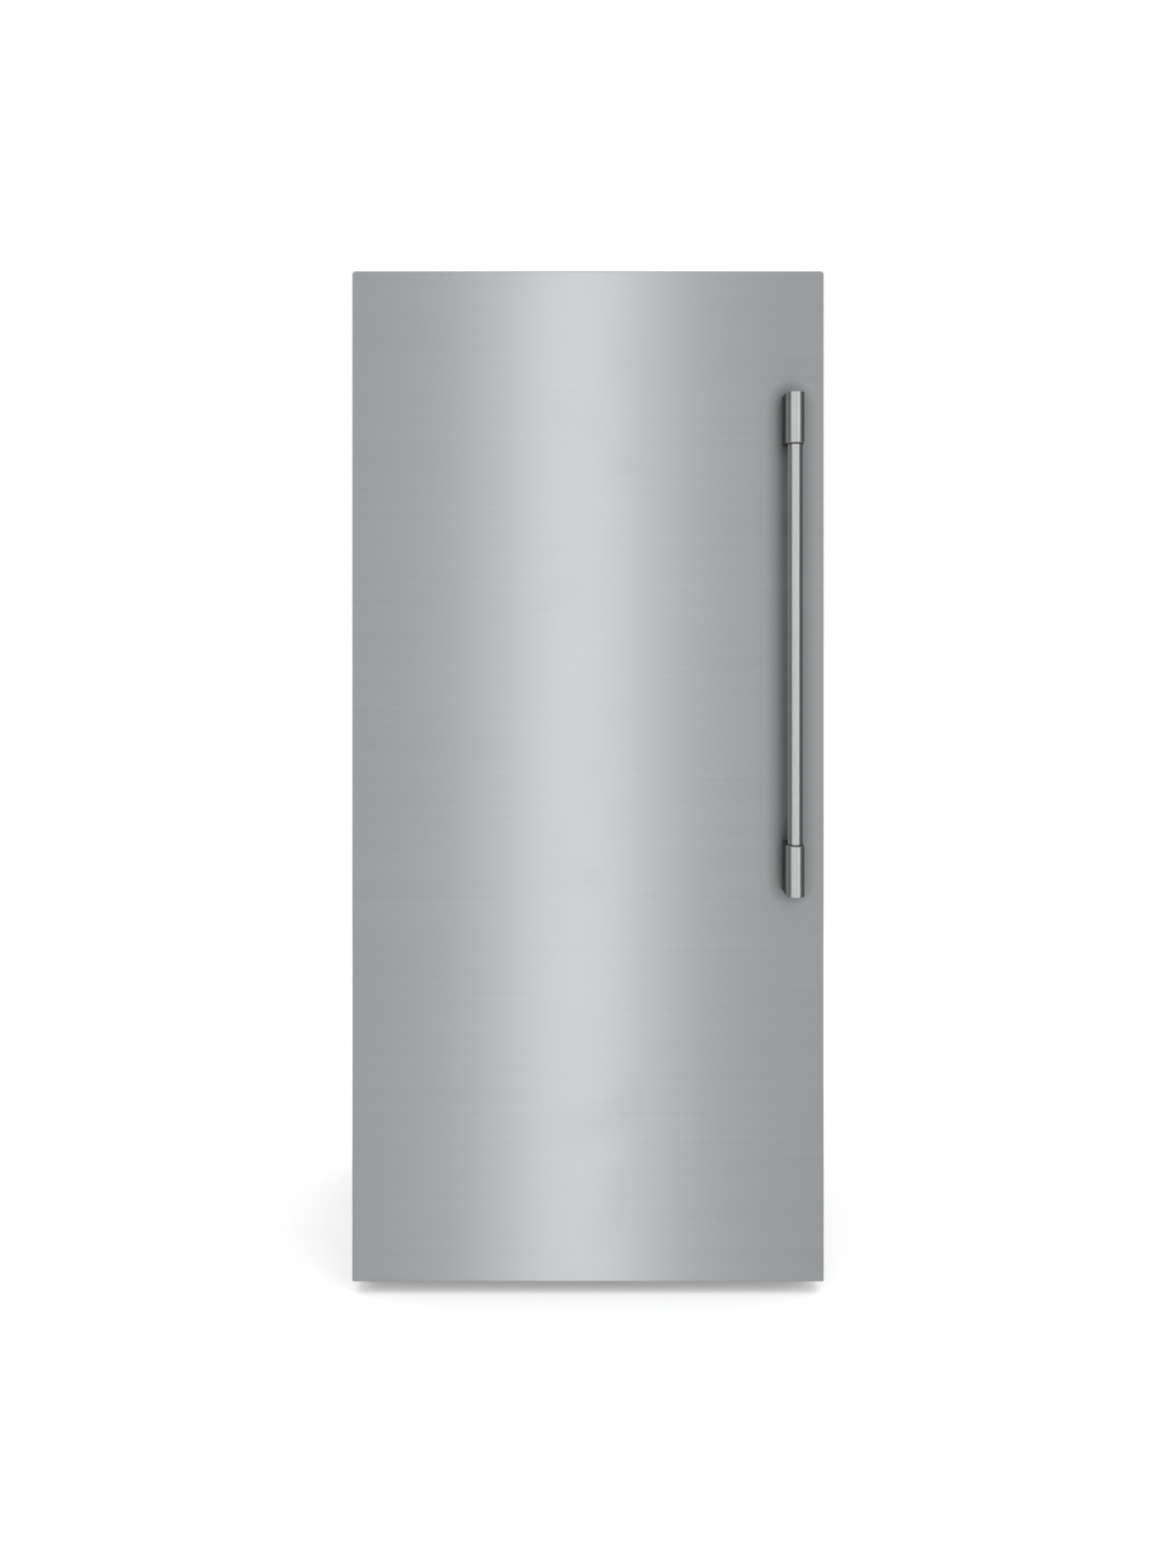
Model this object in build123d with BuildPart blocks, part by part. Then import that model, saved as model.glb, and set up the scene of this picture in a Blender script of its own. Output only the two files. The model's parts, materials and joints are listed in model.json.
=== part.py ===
from build123d import *
import os

# A full-height, single-door refrigerator column: a foamed steel cabinet with a machine bay at the
# lower back, glass shelves and drawers inside, and one foamed stainless door hung on the left.
# Millimetres. +Z is up, the door faces -Y, and the origin is on the floor under the centre of the
# whole object, handle included.

os.makedirs("parts", exist_ok=True)

# ---- driving dimensions ----
door_width = 835.0
door_height = 1790.0
door_depth = 68.0
door_bottom = 22.0
cabinet_width = 833.0
cabinet_depth = 590.0
cabinet_bottom = 60.0
cabinet_top = 1813.0
seal_gap = 12.0  # cabinet front to door back
handle_radius = 15.8
handle_offset = 50.0  # door face to handle axis
handle_inset = 58.0  # door edge to handle axis
handle_low = 715.5
handle_length = 875.0
sleeve_length = 89.0
bar_radius = 12.7
sheet = 1.0
liner_wall = 2.5
side_insulation = 48.5
back_insulation = 66.0
floor_z = 118.0
ceiling_z = 1756.0
bay_depth = 230.0  # machine bay, at the back of the base
bay_top = 290.0
gap = 0.1  # between neighbours that only touch
screw_radius = 3.0
screw_hole = 3.1
head_height = 3.2

# ---- planes that follow from them ----
overall_depth = handle_offset + handle_radius + door_depth + seal_gap + cabinet_depth
cabinet_back = overall_depth / 2
cabinet_front = cabinet_back - cabinet_depth
door_back = cabinet_front - seal_gap
door_front = door_back - door_depth
door_top = door_bottom + door_height
half_door = door_width / 2
half_cabinet = cabinet_width / 2
half_inside = half_cabinet - side_insulation
inside_back = cabinet_back - back_insulation
bay_front = cabinet_back - bay_depth
hump_front = bay_front - 44.0
hump_top = bay_top + 44.0
hinge_x = -half_door + 18.0
hinge_y = door_back - 20.0
handle_x = half_door - handle_inset
handle_y = door_front - handle_offset

# ---- things inside ----
shelf_heights = (486.0, 774.0, 1062.0, 1350.0)
shelf_front = -120.0
shelf_back = cabinet_back - 132.0
duct_front = shelf_back + 6.0
track_x = 300.0
slot_pitch = 32.0
track_low = 430.0
track_high = 1700.0
bin_heights = {"lower": (510.0, 150.0), "middle": (860.0, 120.0), "upper": (1190.0, 120.0)}
dairy_z = 1490.0
dairy_height = 100.0
bin_half_width = 329.5
bin_back = door_back + 0.5
bin_front = door_back + 101.0
dike_low = 496.0
dike_high = 1735.0
dike_reach = 46.0
leg_x = 300.0
leg_y = cabinet_front + 52.0
roller_x = 350.0
roller_y = cabinet_back - 48.0
roller_radius = 24.0
compressor_x = 262.0
compressor_y = cabinet_back - 106.0
top_screws = [(x, y) for x in (-400, -350) for y in (cabinet_front + 27, cabinet_front + 72)]
bottom_screws = [(x, cabinet_front + 56) for x in (-404, -376, -348)]
button_x = {"colder": -62.0, "warmer": 62.0}
button_z = 1737.0
panel_front = -170.0


def block(x, y, z, mode=Mode.ADD):
    """A box between two corners, each axis given as (low, high)."""
    centre = tuple((low + high) / 2 for low, high in (x, y, z))
    with Locations(centre):
        Box(x[1] - x[0], y[1] - y[0], z[1] - z[0], mode=mode)


def rod(start, axis, length, radius, mode=Mode.ADD):
    """A round bar or hole that starts at a point and runs along an axis."""
    with Locations(Plane(origin=start, z_dir=axis)):
        Cylinder(radius, length, align=(Align.CENTER, Align.CENTER, Align.MIN), mode=mode)


def both_sides(low, high):
    """The same stretch of X on the right and on the left."""
    return [(low, high), (-high, -low)]


def save(piece, name):
    """Labels a finished piece and writes its STEP file."""
    piece.part.label = name
    export_step(piece.part, f"parts/{name}.step")


# ---- cabinet ----
inside_x = (-half_cabinet + sheet, half_cabinet - sheet)
foam_x = (inside_x[0] + gap, inside_x[1] - gap)
panel_y = (cabinet_back - 2.1, cabinet_back - 1.1)  # plane of the two rear panels
back_opening = half_cabinet - 16.5

# Folded steel wrapper: both sides and the top, with a flange for the door seal round the front.
with BuildPart() as outer_wrapper:
    block((-half_cabinet, half_cabinet), (cabinet_front, cabinet_back), (cabinet_bottom, cabinet_top))
    fillet(outer_wrapper.edges().filter_by(Axis.Y).group_by(Axis.Z)[-1], 2.5)
    block(
        inside_x,
        (cabinet_front + sheet, cabinet_back - sheet),
        (cabinet_bottom, cabinet_top - sheet),
        Mode.SUBTRACT,
    )
    flange_x = half_inside + liner_wall + 0.5
    flange_top = ceiling_z + liner_wall + 0.5
    block(
        (-flange_x, flange_x),
        (cabinet_front, cabinet_front + sheet),
        (cabinet_bottom, flange_top),
        Mode.SUBTRACT,
    )
    block(
        (-back_opening, back_opening),
        (cabinet_back - sheet, cabinet_back),
        (cabinet_bottom, cabinet_top - 15),
        Mode.SUBTRACT,
    )
    for x, y in top_screws:
        rod((x, y, cabinet_top - sheet), (0, 0, 1), sheet, screw_hole, Mode.SUBTRACT)
save(outer_wrapper, "outer_wrapper")

screw_x = half_cabinet - 24.5
panel_screws = [(x, z) for x in (-screw_x, screw_x) for z in (330, 690, 1050, 1410, 1770)]
cover_screws = [(x, z) for x in (-screw_x, screw_x) for z in (90, 262)]

# Flat rear panel above the machine bay, with pressed vertical stiffeners.
with BuildPart() as rear_panel:
    block((foam_x[0], foam_x[1]), panel_y, (bay_top + 2, cabinet_top - sheet - gap))
    for x in (-240, -80, 80, 240):
        block((x - 9, x + 9), (panel_y[1] - 0.4, panel_y[1]), (360, 1740), Mode.SUBTRACT)
    for x, z in panel_screws:
        rod((x, panel_y[0], z), (0, 1, 0), 1, 2.1, Mode.SUBTRACT)
save(rear_panel, "rear_panel")

deck = 1.2
deck_top = cabinet_bottom + deck

# Stepped steel base: floor plate, front apron, and the front wall and roof of the machine bay,
# with ears for the back rollers and threaded bosses for the front feet.
boss_z = 38.0
with BuildPart() as base_pan:
    block(inside_x, (cabinet_front + 1.1, panel_y[0] - gap), (cabinet_bottom, deck_top))
    block(
        (-half_inside - liner_wall, half_inside + liner_wall),
        (cabinet_front, cabinet_front + deck),
        (cabinet_bottom, floor_z - liner_wall - 0.5),
    )
    block(inside_x, (bay_front - deck, bay_front), (cabinet_bottom, bay_top + deck))
    block(inside_x, (bay_front - deck, panel_y[0] - gap), (bay_top, bay_top + deck))
    for x in both_sides(inside_x[1] - deck, inside_x[1]):
        block(x, (bay_front - deck, panel_y[0] - gap), (cabinet_bottom, bay_top + deck))
    for side in (-1, 1):
        for ear in (-14, 14):
            x = side * roller_x + ear
            block((x - 1, x + 1), (roller_y - 20, roller_y + 20), (10, cabinet_bottom))
        rod((side * roller_x - 20, roller_y, roller_radius), (1, 0, 0), 40, 4.1, Mode.SUBTRACT)
        rod((side * leg_x, leg_y, boss_z), (0, 0, 1), cabinet_bottom - boss_z, 11)
        rod((side * leg_x, leg_y, boss_z), (0, 0, 1), deck_top - boss_z, 5.05, Mode.SUBTRACT)
    for x, y in bottom_screws:
        rod((x, y, cabinet_bottom), (0, 0, 1), deck, screw_hole, Mode.SUBTRACT)
save(base_pan, "base_pan")


liner_corner = 14.0


def liner_profile(grow, corner_radius, front, half_width):
    """The food space seen from the side, a flat floor that steps up over the machine bay."""
    with BuildSketch(Plane.YZ.offset(-half_width)) as profile:
        with BuildLine():
            Polyline(
                (front, floor_z - grow),
                (hump_front + grow, floor_z - grow),
                (hump_front + grow, hump_top - grow),
                (inside_back + grow, hump_top - grow),
                (inside_back + grow, ceiling_z + grow),
                (front, ceiling_z + grow),
                close=True,
            )
        make_face()
        fillet([corner for corner in profile.vertices() if corner.X > front + 1], corner_radius)
    return profile.sketch


# Foamed insulation between the wrapper and the liner.
with BuildPart() as cabinet_foam:
    block(
        foam_x,
        (cabinet_front + deck + gap, panel_y[0] - gap),
        (deck_top + gap, cabinet_top - sheet - gap),
    )
    block(
        (foam_x[0] - 1, foam_x[1] + 1),
        (bay_front - deck - gap, cabinet_back),
        (cabinet_bottom, bay_top + deck + gap),
        Mode.SUBTRACT,
    )
    hollow = half_inside + liner_wall + gap
    profile = liner_profile(liner_wall + gap, liner_corner, cabinet_front - 10, hollow)
    extrude(profile, amount=2 * hollow, dir=(1, 0, 0), mode=Mode.SUBTRACT)
save(cabinet_foam, "cabinet_foam")

drawer_rail_z = 440.0

# Thermoformed food liner, with the two moulded rails that carry the wide drawer.
with BuildPart() as food_liner:
    half_outside = half_inside + liner_wall
    profile = liner_profile(liner_wall, liner_corner, cabinet_front, half_outside)
    extrude(profile, amount=2 * half_outside, dir=(1, 0, 0))
    profile = liner_profile(0, liner_corner - liner_wall, cabinet_front - 10, half_inside)
    extrude(profile, amount=2 * half_inside, dir=(1, 0, 0), mode=Mode.SUBTRACT)
    for x in both_sides(half_inside - 13, half_inside + 1):
        block(x, (shelf_front + 6, 220), (drawer_rail_z, drawer_rail_z + 6))
save(food_liner, "food_liner")

# ---- hinges ----
plate_x = (-half_cabinet + 5, -half_cabinet + 83)
plate_depth = 84.0
top_plate = 3.0
arm_radius = 13.0
top_pin_radius = 5.0
top_pin_depth = 23.0

# Top hinge: a flat steel plate on the cabinet roof whose arm reaches over the door, with its pin.
with BuildPart() as top_hinge_bracket:
    with BuildSketch(Plane.XY.offset(cabinet_top)):
        with Locations(((plate_x[0] + plate_x[1]) / 2, cabinet_front + 6 + plate_depth / 2)):
            Rectangle(plate_x[1] - plate_x[0], plate_depth)
        with Locations((hinge_x, (hinge_y + cabinet_front + 20) / 2)):
            Rectangle(2 * arm_radius, cabinet_front + 20 - hinge_y)
        with Locations((hinge_x, hinge_y)):
            Circle(arm_radius)
        with Locations(*top_screws):
            Circle(screw_hole, mode=Mode.SUBTRACT)
    extrude(amount=top_plate)
    pin_foot = (hinge_x, hinge_y, cabinet_top - top_pin_depth)
    rod(pin_foot, (0, 0, 1), top_pin_depth, top_pin_radius)
save(top_hinge_bracket, "top_hinge_bracket")


cover_wall = 1.5
cover_width = 94.0
cover_front = hinge_y - arm_radius - 4
cover_back = cabinet_front + 98
cover_nose = cabinet_top + 5
cover_top = cabinet_top + 16


def cover_profile(inset):
    """Side view of the top hinge cover, low over the door and higher on the cabinet."""
    low = cabinet_top + 0.2
    with BuildSketch(Plane.YZ.offset(-half_cabinet + 1.5 + inset)) as profile:
        with BuildLine():
            Polyline(
                (cover_front + inset, low),
                (cover_front + inset, cover_nose - inset),
                (cabinet_front + 16, cover_top - inset),
                (cover_back - inset, cover_top - inset),
                (cover_back - inset, low),
                close=True,
            )
        make_face()
    return profile.sketch


# Plastic cover over the top hinge.
with BuildPart() as top_hinge_cover:
    extrude(cover_profile(0), amount=cover_width, dir=(1, 0, 0))
    fillet(top_hinge_cover.edges().filter_by(Axis.Y).group_by(Axis.Z)[-1], 2.5)
    hollow_width = cover_width - 2 * cover_wall
    extrude(cover_profile(cover_wall), amount=hollow_width, dir=(1, 0, 0), mode=Mode.SUBTRACT)
save(top_hinge_cover, "top_hinge_cover")

bottom_plate_z = 15.0
bottom_plate = 4.0
bottom_pin_radius = 6.0

# Bottom hinge: a steel step bolted under the base, with the pin that carries the door.
with BuildPart() as bottom_hinge_bracket:
    with BuildSketch(Plane.XY.offset(bottom_plate_z)):
        with Locations((hinge_x, (hinge_y + cabinet_front + 32) / 2)):
            Rectangle(2 * arm_radius, cabinet_front + 32 - hinge_y)
        with Locations((hinge_x, hinge_y)):
            Circle(arm_radius)
    extrude(amount=bottom_plate)
    riser_y = (cabinet_front + 28, cabinet_front + 28 + bottom_plate)
    block(plate_x, riser_y, (bottom_plate_z, cabinet_bottom - gap))
    block(
        plate_x,
        (riser_y[0], cabinet_front + 72),
        (cabinet_bottom - bottom_plate, cabinet_bottom - gap),
    )
    for x, y in bottom_screws:
        rod((x, y, cabinet_bottom - 5), (0, 0, 1), 6, screw_hole, Mode.SUBTRACT)
    rod((hinge_x, hinge_y, bottom_plate_z + bottom_plate), (0, 0, 1), 25, bottom_pin_radius)
save(bottom_hinge_bracket, "bottom_hinge_bracket")

# Hexagon screws of both hinges, and the low-headed screws of the rear panels.
with BuildPart() as assembly_screws:
    top_heads = [(x, y, cabinet_top + top_plate) for x, y in top_screws]
    bottom_heads = [(x, y, cabinet_bottom - bottom_plate - head_height) for x, y in bottom_screws]
    for x, y, z in top_heads + bottom_heads:
        with BuildSketch(Plane.XY.offset(z)):
            with Locations((x, y)):
                RegularPolygon(5.5, 6)
        extrude(amount=head_height)
    for x, y in top_screws:
        shank = top_plate + sheet - gap
        rod((x, y, cabinet_top - sheet + gap), (0, 0, 1), shank, screw_radius)
    for x, y in bottom_screws:
        rod((x, y, cabinet_bottom - bottom_plate), (0, 0, 1), bottom_plate + 1, screw_radius)
    for x, z in panel_screws + cover_screws:
        rod((x, panel_y[1], z), (0, 1, 0), 1, 5.5)
        rod((x, panel_y[0], z), (0, 1, 0), 1, 2)
save(assembly_screws, "assembly_screws")

# ---- base, rollers and feet ----
# Plastic grille behind the lower edge of the door: the air way of the machine bay.
with BuildPart() as toe_grille:
    grille_y = (cabinet_front + 6, cabinet_front + 9)
    block((-325, 385), grille_y, (8, 59.8))
    block((-325, 385), (cabinet_front + 6, cabinet_front + 26), (57, 59.8))
    with Locations((30, cabinet_front + 7.5, 32)):
        with GridLocations(16, 1, 43, 1):
            Box(9, 10, 36, mode=Mode.SUBTRACT)
    fillet(toe_grille.edges().filter_by(Axis.X).group_by(Axis.Z)[0], 1)
save(toe_grille, "toe_grille")

# Back rollers on their axles.
roller_width = 20.0
axle_radius = 4.0
for side, name in ((-1, "rear_roller_left"), (1, "rear_roller_right")):
    with BuildPart() as roller:
        x = side * roller_x - roller_width / 2
        rod((x, roller_y, roller_radius), (1, 0, 0), roller_width, roller_radius)
        fillet(roller.edges(), 2.5)
        for recess in (x, x + roller_width - 4):
            rod((recess, roller_y, roller_radius), (1, 0, 0), 4, 17, Mode.SUBTRACT)
        rod((x - 2, roller_y, roller_radius), (1, 0, 0), roller_width + 4, 8)
        bore = axle_radius + 0.05
        rod((x - 3, roller_y, roller_radius), (1, 0, 0), roller_width + 6, bore, Mode.SUBTRACT)
    save(roller, name)

with BuildPart() as roller_axles:
    for side in (-1, 1):
        rod((side * roller_x - 17, roller_y, roller_radius), (1, 0, 0), 34, axle_radius)
        rod((side * roller_x - 19, roller_y, roller_radius), (1, 0, 0), 2, 6.5)
        rod((side * roller_x + 17, roller_y, roller_radius), (1, 0, 0), 2, 6.5)
save(roller_axles, "roller_axles")

# Front feet: a disc, a hexagon to turn it by, and a stud in the base's boss.
for side, name in ((-1, "leveling_leg_left"), (1, "leveling_leg_right")):
    with BuildPart() as leg:
        rod((side * leg_x, leg_y, 0), (0, 0, 1), 9, 20)
        fillet(leg.edges().group_by(Axis.Z)[-1], 3)
        with BuildSketch(Plane.XY.offset(9)):
            with Locations((side * leg_x, leg_y)):
                RegularPolygon(9, 6)
        extrude(amount=12)
        rod((side * leg_x, leg_y, 21), (0, 0, 1), 38, 5)
        chamfer(leg.edges().group_by(Axis.Z)[-1], 1)
    save(leg, name)

# ---- machine bay ----
inlet_x = -372.0
inlet_z = 112.0

# Slotted steel cover of the machine bay, with the cut-out of the mains inlet.
with BuildPart() as machine_cover:
    block(foam_x, panel_y, (deck_top + gap, bay_top + 1.8))
    for x in (-190, 0, 190):
        for row in range(10):
            z = 104 + row * 16
            block((x - 70, x + 70), (panel_y[0] - 1, cabinet_back), (z - 3, z + 3), Mode.SUBTRACT)
    block(
        (inlet_x - 25, inlet_x + 25),
        (panel_y[0] - 1, cabinet_back),
        (inlet_z - 14, inlet_z + 14),
        Mode.SUBTRACT,
    )
    for x, z in cover_screws:
        rod((x, panel_y[0], z), (0, 1, 0), 1, 2.1, Mode.SUBTRACT)
save(machine_cover, "machine_cover")

# Three-pin mains inlet, snapped into the cover from inside.
with BuildPart() as power_inlet:
    block(
        (inlet_x - 24.5, inlet_x + 24.5),
        (cabinet_back - 30, cabinet_back - 0.2),
        (inlet_z - 13.5, inlet_z + 13.5),
    )
    block(
        (inlet_x - 30, inlet_x + 30),
        (panel_y[0] - 4, panel_y[0] - gap),
        (inlet_z - 18, inlet_z + 18),
    )
    block(
        (inlet_x - 13, inlet_x + 13),
        (cabinet_back - 22, cabinet_back),
        (inlet_z - 9, inlet_z + 9),
        Mode.SUBTRACT,
    )
    for x, z in ((-7, -2), (0, 3), (7, -2)):
        block(
            (inlet_x + x - 1, inlet_x + x + 1),
            (cabinet_back - 23, cabinet_back - 8),
            (inlet_z + z - 2.5, inlet_z + z + 2.5),
        )
save(power_inlet, "power_inlet")

# Welded compressor can on its foot plate, with its terminal box and pipe stubs.
shell_radius = 72.0
foot_z = 78.0
stub_z = 186.0
with BuildPart() as compressor:
    rod((compressor_x, compressor_y, foot_z + 3), (0, 0, 1), 160, shell_radius)
    fillet(compressor.edges().group_by(Axis.Z)[-1], 46)
    fillet(compressor.edges().group_by(Axis.Z)[0], 26)
    rod((compressor_x, compressor_y, foot_z + 82), (0, 0, 1), 5, shell_radius + 3)
    block(
        (compressor_x - 80, compressor_x + 80),
        (compressor_y - 56, compressor_y + 56),
        (foot_z, foot_z + 4),
    )
    block(
        (compressor_x - 30, compressor_x + 30),
        (compressor_y + 60, compressor_y + 92),
        (foot_z + 32, foot_z + 78),
    )
    rod((compressor_x - 68, compressor_y, stub_z), (-1, 0, 0), 22, 5)
    rod((compressor_x + 30, compressor_y - 62, 140), (0, -1, 0), 24, 6)
save(compressor, "compressor")

with BuildPart() as compressor_mounts:
    for x in (-66, 66):
        for y in (-44, 44):
            place = (compressor_x + x, compressor_y + y)
            rod((*place, deck_top + gap), (0, 0, 1), foot_z - deck_top - 2 * gap, 11)
            rod((*place, deck_top + 2), (0, 0, 1), 4, 13)
save(compressor_mounts, "compressor_mounts")


def finned_coil(plane, length, rows, row_pitch, columns, column_pitch, fin_depth, fins, radius):
    """Tubes along local X through a row of thin fins, with both free ends at +X."""
    height = rows * row_pitch
    low_row = -(rows - 1) / 2 * row_pitch
    with BuildPart(plane) as coil:
        for column in range(columns):
            y = (column - (columns - 1) / 2) * column_pitch
            for row in range(rows):
                z = low_row + row * row_pitch
                with Locations((0, y, z)):
                    Cylinder(radius, length, rotation=(0, 90, 0))
                if row < rows - 1:
                    end = -1 if row % 2 == 0 else 1
                    with Locations((end * length / 2, y, z + row_pitch / 2)):
                        Torus(
                            row_pitch / 2,
                            radius,
                            major_angle=180,
                            rotation=(90, 0, 0) if end < 0 else (90, 180, 0),
                        )
        if columns == 2:
            with Locations((length / 2, 0, low_row)):
                Torus(column_pitch / 2, radius, major_angle=180, rotation=(0, 0, -90))
        for fin in range(fins):
            x = (fin - (fins - 1) / 2) * (length - 16) / (fins - 1)
            with Locations((x, 0, 0)):
                Box(0.8, fin_depth, height)
    return coil


coil_x = -210.0
coil_y = (bay_front + panel_y[0]) / 2 - 4
coil_z = 172.0
coil_length = 150.0
row_pitch = 30.0
column_pitch = 44.0

condenser_coil = finned_coil(
    Plane(origin=(coil_x, coil_y, coil_z), x_dir=(0, 1, 0), z_dir=(0, 0, 1)),
    length=coil_length, rows=6, row_pitch=row_pitch, columns=2, column_pitch=column_pitch,
    fin_depth=86, fins=15, radius=4,
)
save(condenser_coil, "condenser_coil")

fan_x = -112.0
fan_z = 170.0

# Condenser fan: a square shroud plate with a round throat, and the motor on three arms.
with BuildPart() as condenser_fan_shroud:
    block((fan_x, fan_x + 3), (coil_y - 95, coil_y + 95), (80, 268))
    rod((fan_x - 1, coil_y, fan_z), (1, 0, 0), 26, 78)
    rod((fan_x - 2, coil_y, fan_z), (1, 0, 0), 28, 75, Mode.SUBTRACT)
    rod((fan_x + 30, coil_y, fan_z), (1, 0, 0), 40, 26)
    fillet(condenser_fan_shroud.edges().group_by(Axis.X)[-1], 5)
    for angle in (90, 210, 330):
        with Locations(Plane(origin=(fan_x + 31, coil_y, fan_z), x_dir=(0, 1, 0), z_dir=(1, 0, 0))):
            with Locations(Location((0, 0, 0), (0, 0, angle))):
                with Locations((52, 0, 0)):
                    Box(56, 8, 4)
                with Locations((78, 0, -4)):
                    Box(4, 8, 12)
    rod((fan_x + 6, coil_y, fan_z), (1, 0, 0), 25, 3)
save(condenser_fan_shroud, "condenser_fan_shroud")


def fan_blade(plane, radius, hub_radius, depth, bore, chord, pitch):
    """An axial fan: a hollow hub on local Z with five pitched blades and a boss for the shaft."""
    open_end = (Align.CENTER, Align.CENTER, Align.MIN)
    with BuildPart(plane) as fan:
        Cylinder(hub_radius, depth)
        with PolarLocations((radius + hub_radius) / 2 - 1, 5):
            Box(radius - hub_radius + 4, chord, 1.6, rotation=(pitch, 0, 0))
        Cylinder(hub_radius - 2.5, depth - 6, align=open_end, mode=Mode.SUBTRACT)
        Cylinder(bore + 3, depth)
        Cylinder(bore, depth + 2, mode=Mode.SUBTRACT)
    return fan


condenser_fan_blade = fan_blade(
    Plane(origin=(fan_x + 15, coil_y, fan_z), z_dir=(1, 0, 0)), 72, 18, 16, 3.05, 34, 28
)
save(condenser_fan_blade, "condenser_fan_blade")

# Open tray under the coil that catches and evaporates the defrost water.
with BuildPart() as drain_pan:
    pan_x = (-330, 130)
    pan_y = (bay_front + 12, panel_y[0] - 12)
    block(pan_x, pan_y, (deck_top + gap, 77))
    block(
        (pan_x[0] + 2, pan_x[1] - 2),
        (pan_y[0] + 2, pan_y[1] - 2),
        (deck_top + 2, 78),
        Mode.SUBTRACT,
    )
save(drain_pan, "drain_pan")


def pipe(points, radius, bend):
    """A round pipe along straight runs joined by arcs."""
    with BuildLine() as path:
        FilletPolyline(*points, radius=bend)
    start = Plane(origin=path.line @ 0, z_dir=path.line % 0)
    with BuildSketch(start) as section:
        Circle(radius)
    sweep(section.sketch, path=path.line)


# Discharge and suction lines, and the liquid line with its filter drier.
roof = bay_top - gap
coil_end = coil_y + coil_length / 2
high_tube = coil_z + 2.5 * row_pitch
column_x = (coil_x - column_pitch / 2, coil_x + column_pitch / 2)
drier_x = coil_x - 96
capillary_x = drier_x - 28
line_y = panel_y[0] - 11
with BuildPart() as refrigerant_lines:
    pipe(
        [
            (compressor_x - 90, compressor_y, stub_z),
            (compressor_x - 112, compressor_y, stub_z),
            (compressor_x - 112, compressor_y, 278),
            (column_x[1], compressor_y, 278),
            (column_x[1], line_y, 278),
            (column_x[1], line_y, high_tube),
            (column_x[1], coil_end, high_tube),
        ],
        3,
        7,
    )
    pipe(
        [
            (column_x[0], coil_end, high_tube),
            (column_x[0], line_y, high_tube),
            (drier_x, line_y, high_tube),
            (drier_x, line_y, 214),
        ],
        3,
        7,
    )
    rod((drier_x, line_y, 124), (0, 0, 1), 90, 9)
    pipe(
        [
            (drier_x, line_y, 124),
            (drier_x, line_y, 106),
            (capillary_x, line_y, 106),
            (capillary_x, line_y, roof),
        ],
        1.6,
        6,
    )
    pipe(
        [
            (compressor_x + 30, compressor_y - 86, 140),
            (compressor_x + 30, compressor_y - 106, 140),
            (compressor_x + 30, compressor_y - 106, roof),
        ],
        5,
        12,
    )
save(refrigerant_lines, "refrigerant_lines")

# Plastic box of the main control board.
with BuildPart() as control_board_box:
    block((348, 408), (compressor_y - 74, compressor_y + 70), (92, 250))
    fillet(control_board_box.edges().filter_by(Axis.X), 5)
    block((345, 348), (compressor_y - 66, compressor_y + 62), (100, 242))
save(control_board_box, "control_board_box")

# ---- cold air ----
coil_back = inside_back - 1
evaporator_coil = finned_coil(
    Plane(origin=(0, coil_back - 23, 720)),
    length=300, rows=8, row_pitch=36, columns=1, column_pitch=1, fin_depth=40, fins=21, radius=4,
)
save(evaporator_coil, "evaporator_coil")

fan_centre_z = 1010.0
fan_plate_y = inside_back - 5

# Evaporator fan: motor and throat ring on a plate at the back of the duct.
with BuildPart() as evaporator_fan_shroud:
    block((-80, 80), (fan_plate_y, fan_plate_y + 4), (fan_centre_z - 74, fan_centre_z + 74))
    rod((0, fan_plate_y, fan_centre_z), (0, -1, 0), 36, 60)
    rod((0, fan_plate_y, fan_centre_z), (0, -1, 0), 40, 57, Mode.SUBTRACT)
    rod((0, fan_plate_y, fan_centre_z), (0, -1, 0), 14, 21)
    rod((0, fan_plate_y, fan_centre_z), (0, -1, 0), 33, 2.5)
save(evaporator_fan_shroud, "evaporator_fan_shroud")

evaporator_fan_blade = fan_blade(
    Plane(origin=(0, fan_plate_y - 25, fan_centre_z), z_dir=(0, -1, 0)), 54, 14, 15, 2.55, 26, 28
)
save(evaporator_fan_blade, "evaporator_fan_blade")

vent_rows = [zs + step for zs in (560, 850, 1140) for step in (0, 14, 28, 42)]
duct_half = 200.0
duct_z = (500.0, 1300.0)
duct_wall = 2.5

# Air duct on the rear wall: an open-backed cover with vents under each shelf.
with BuildPart() as air_duct_cover:
    block((-duct_half, duct_half), (duct_front, inside_back - gap), duct_z)
    fillet(air_duct_cover.edges().filter_by(Axis.Z).group_by(Axis.Y)[0], 6)
    fillet(air_duct_cover.edges().group_by(Axis.Z)[-1].group_by(Axis.Y)[0], 3)
    block(
        (-duct_half + duct_wall, duct_half - duct_wall),
        (duct_front + duct_wall, inside_back),
        (duct_z[0] + duct_wall, duct_z[1] - duct_wall),
        Mode.SUBTRACT,
    )
    for z in vent_rows:
        for x in (-120, 0, 120):
            block((x - 34, x + 34), (duct_front - 1, duct_front + 3), (z, z + 6), Mode.SUBTRACT)
save(air_duct_cover, "air_duct_cover")

# ---- shelves ----
track_y = (inside_back - 4, inside_back - gap)

# Slotted steel tracks that the shelf arms hook into.
with BuildPart() as shelf_tracks:
    for side in (-1, 1):
        x = side * track_x
        block((x - 9, x + 9), track_y, (track_low, track_high))
        slots = int((track_high - track_low - 20) // slot_pitch)
        for slot in range(slots):
            z = track_low + 20 + slot * slot_pitch
            block((x - 2.2, x + 2.2), (track_y[0] - 1, inside_back), (z - 7, z + 7), Mode.SUBTRACT)
save(shelf_tracks, "shelf_tracks")

shelf_half = 358.0
rim = 20.0


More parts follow.
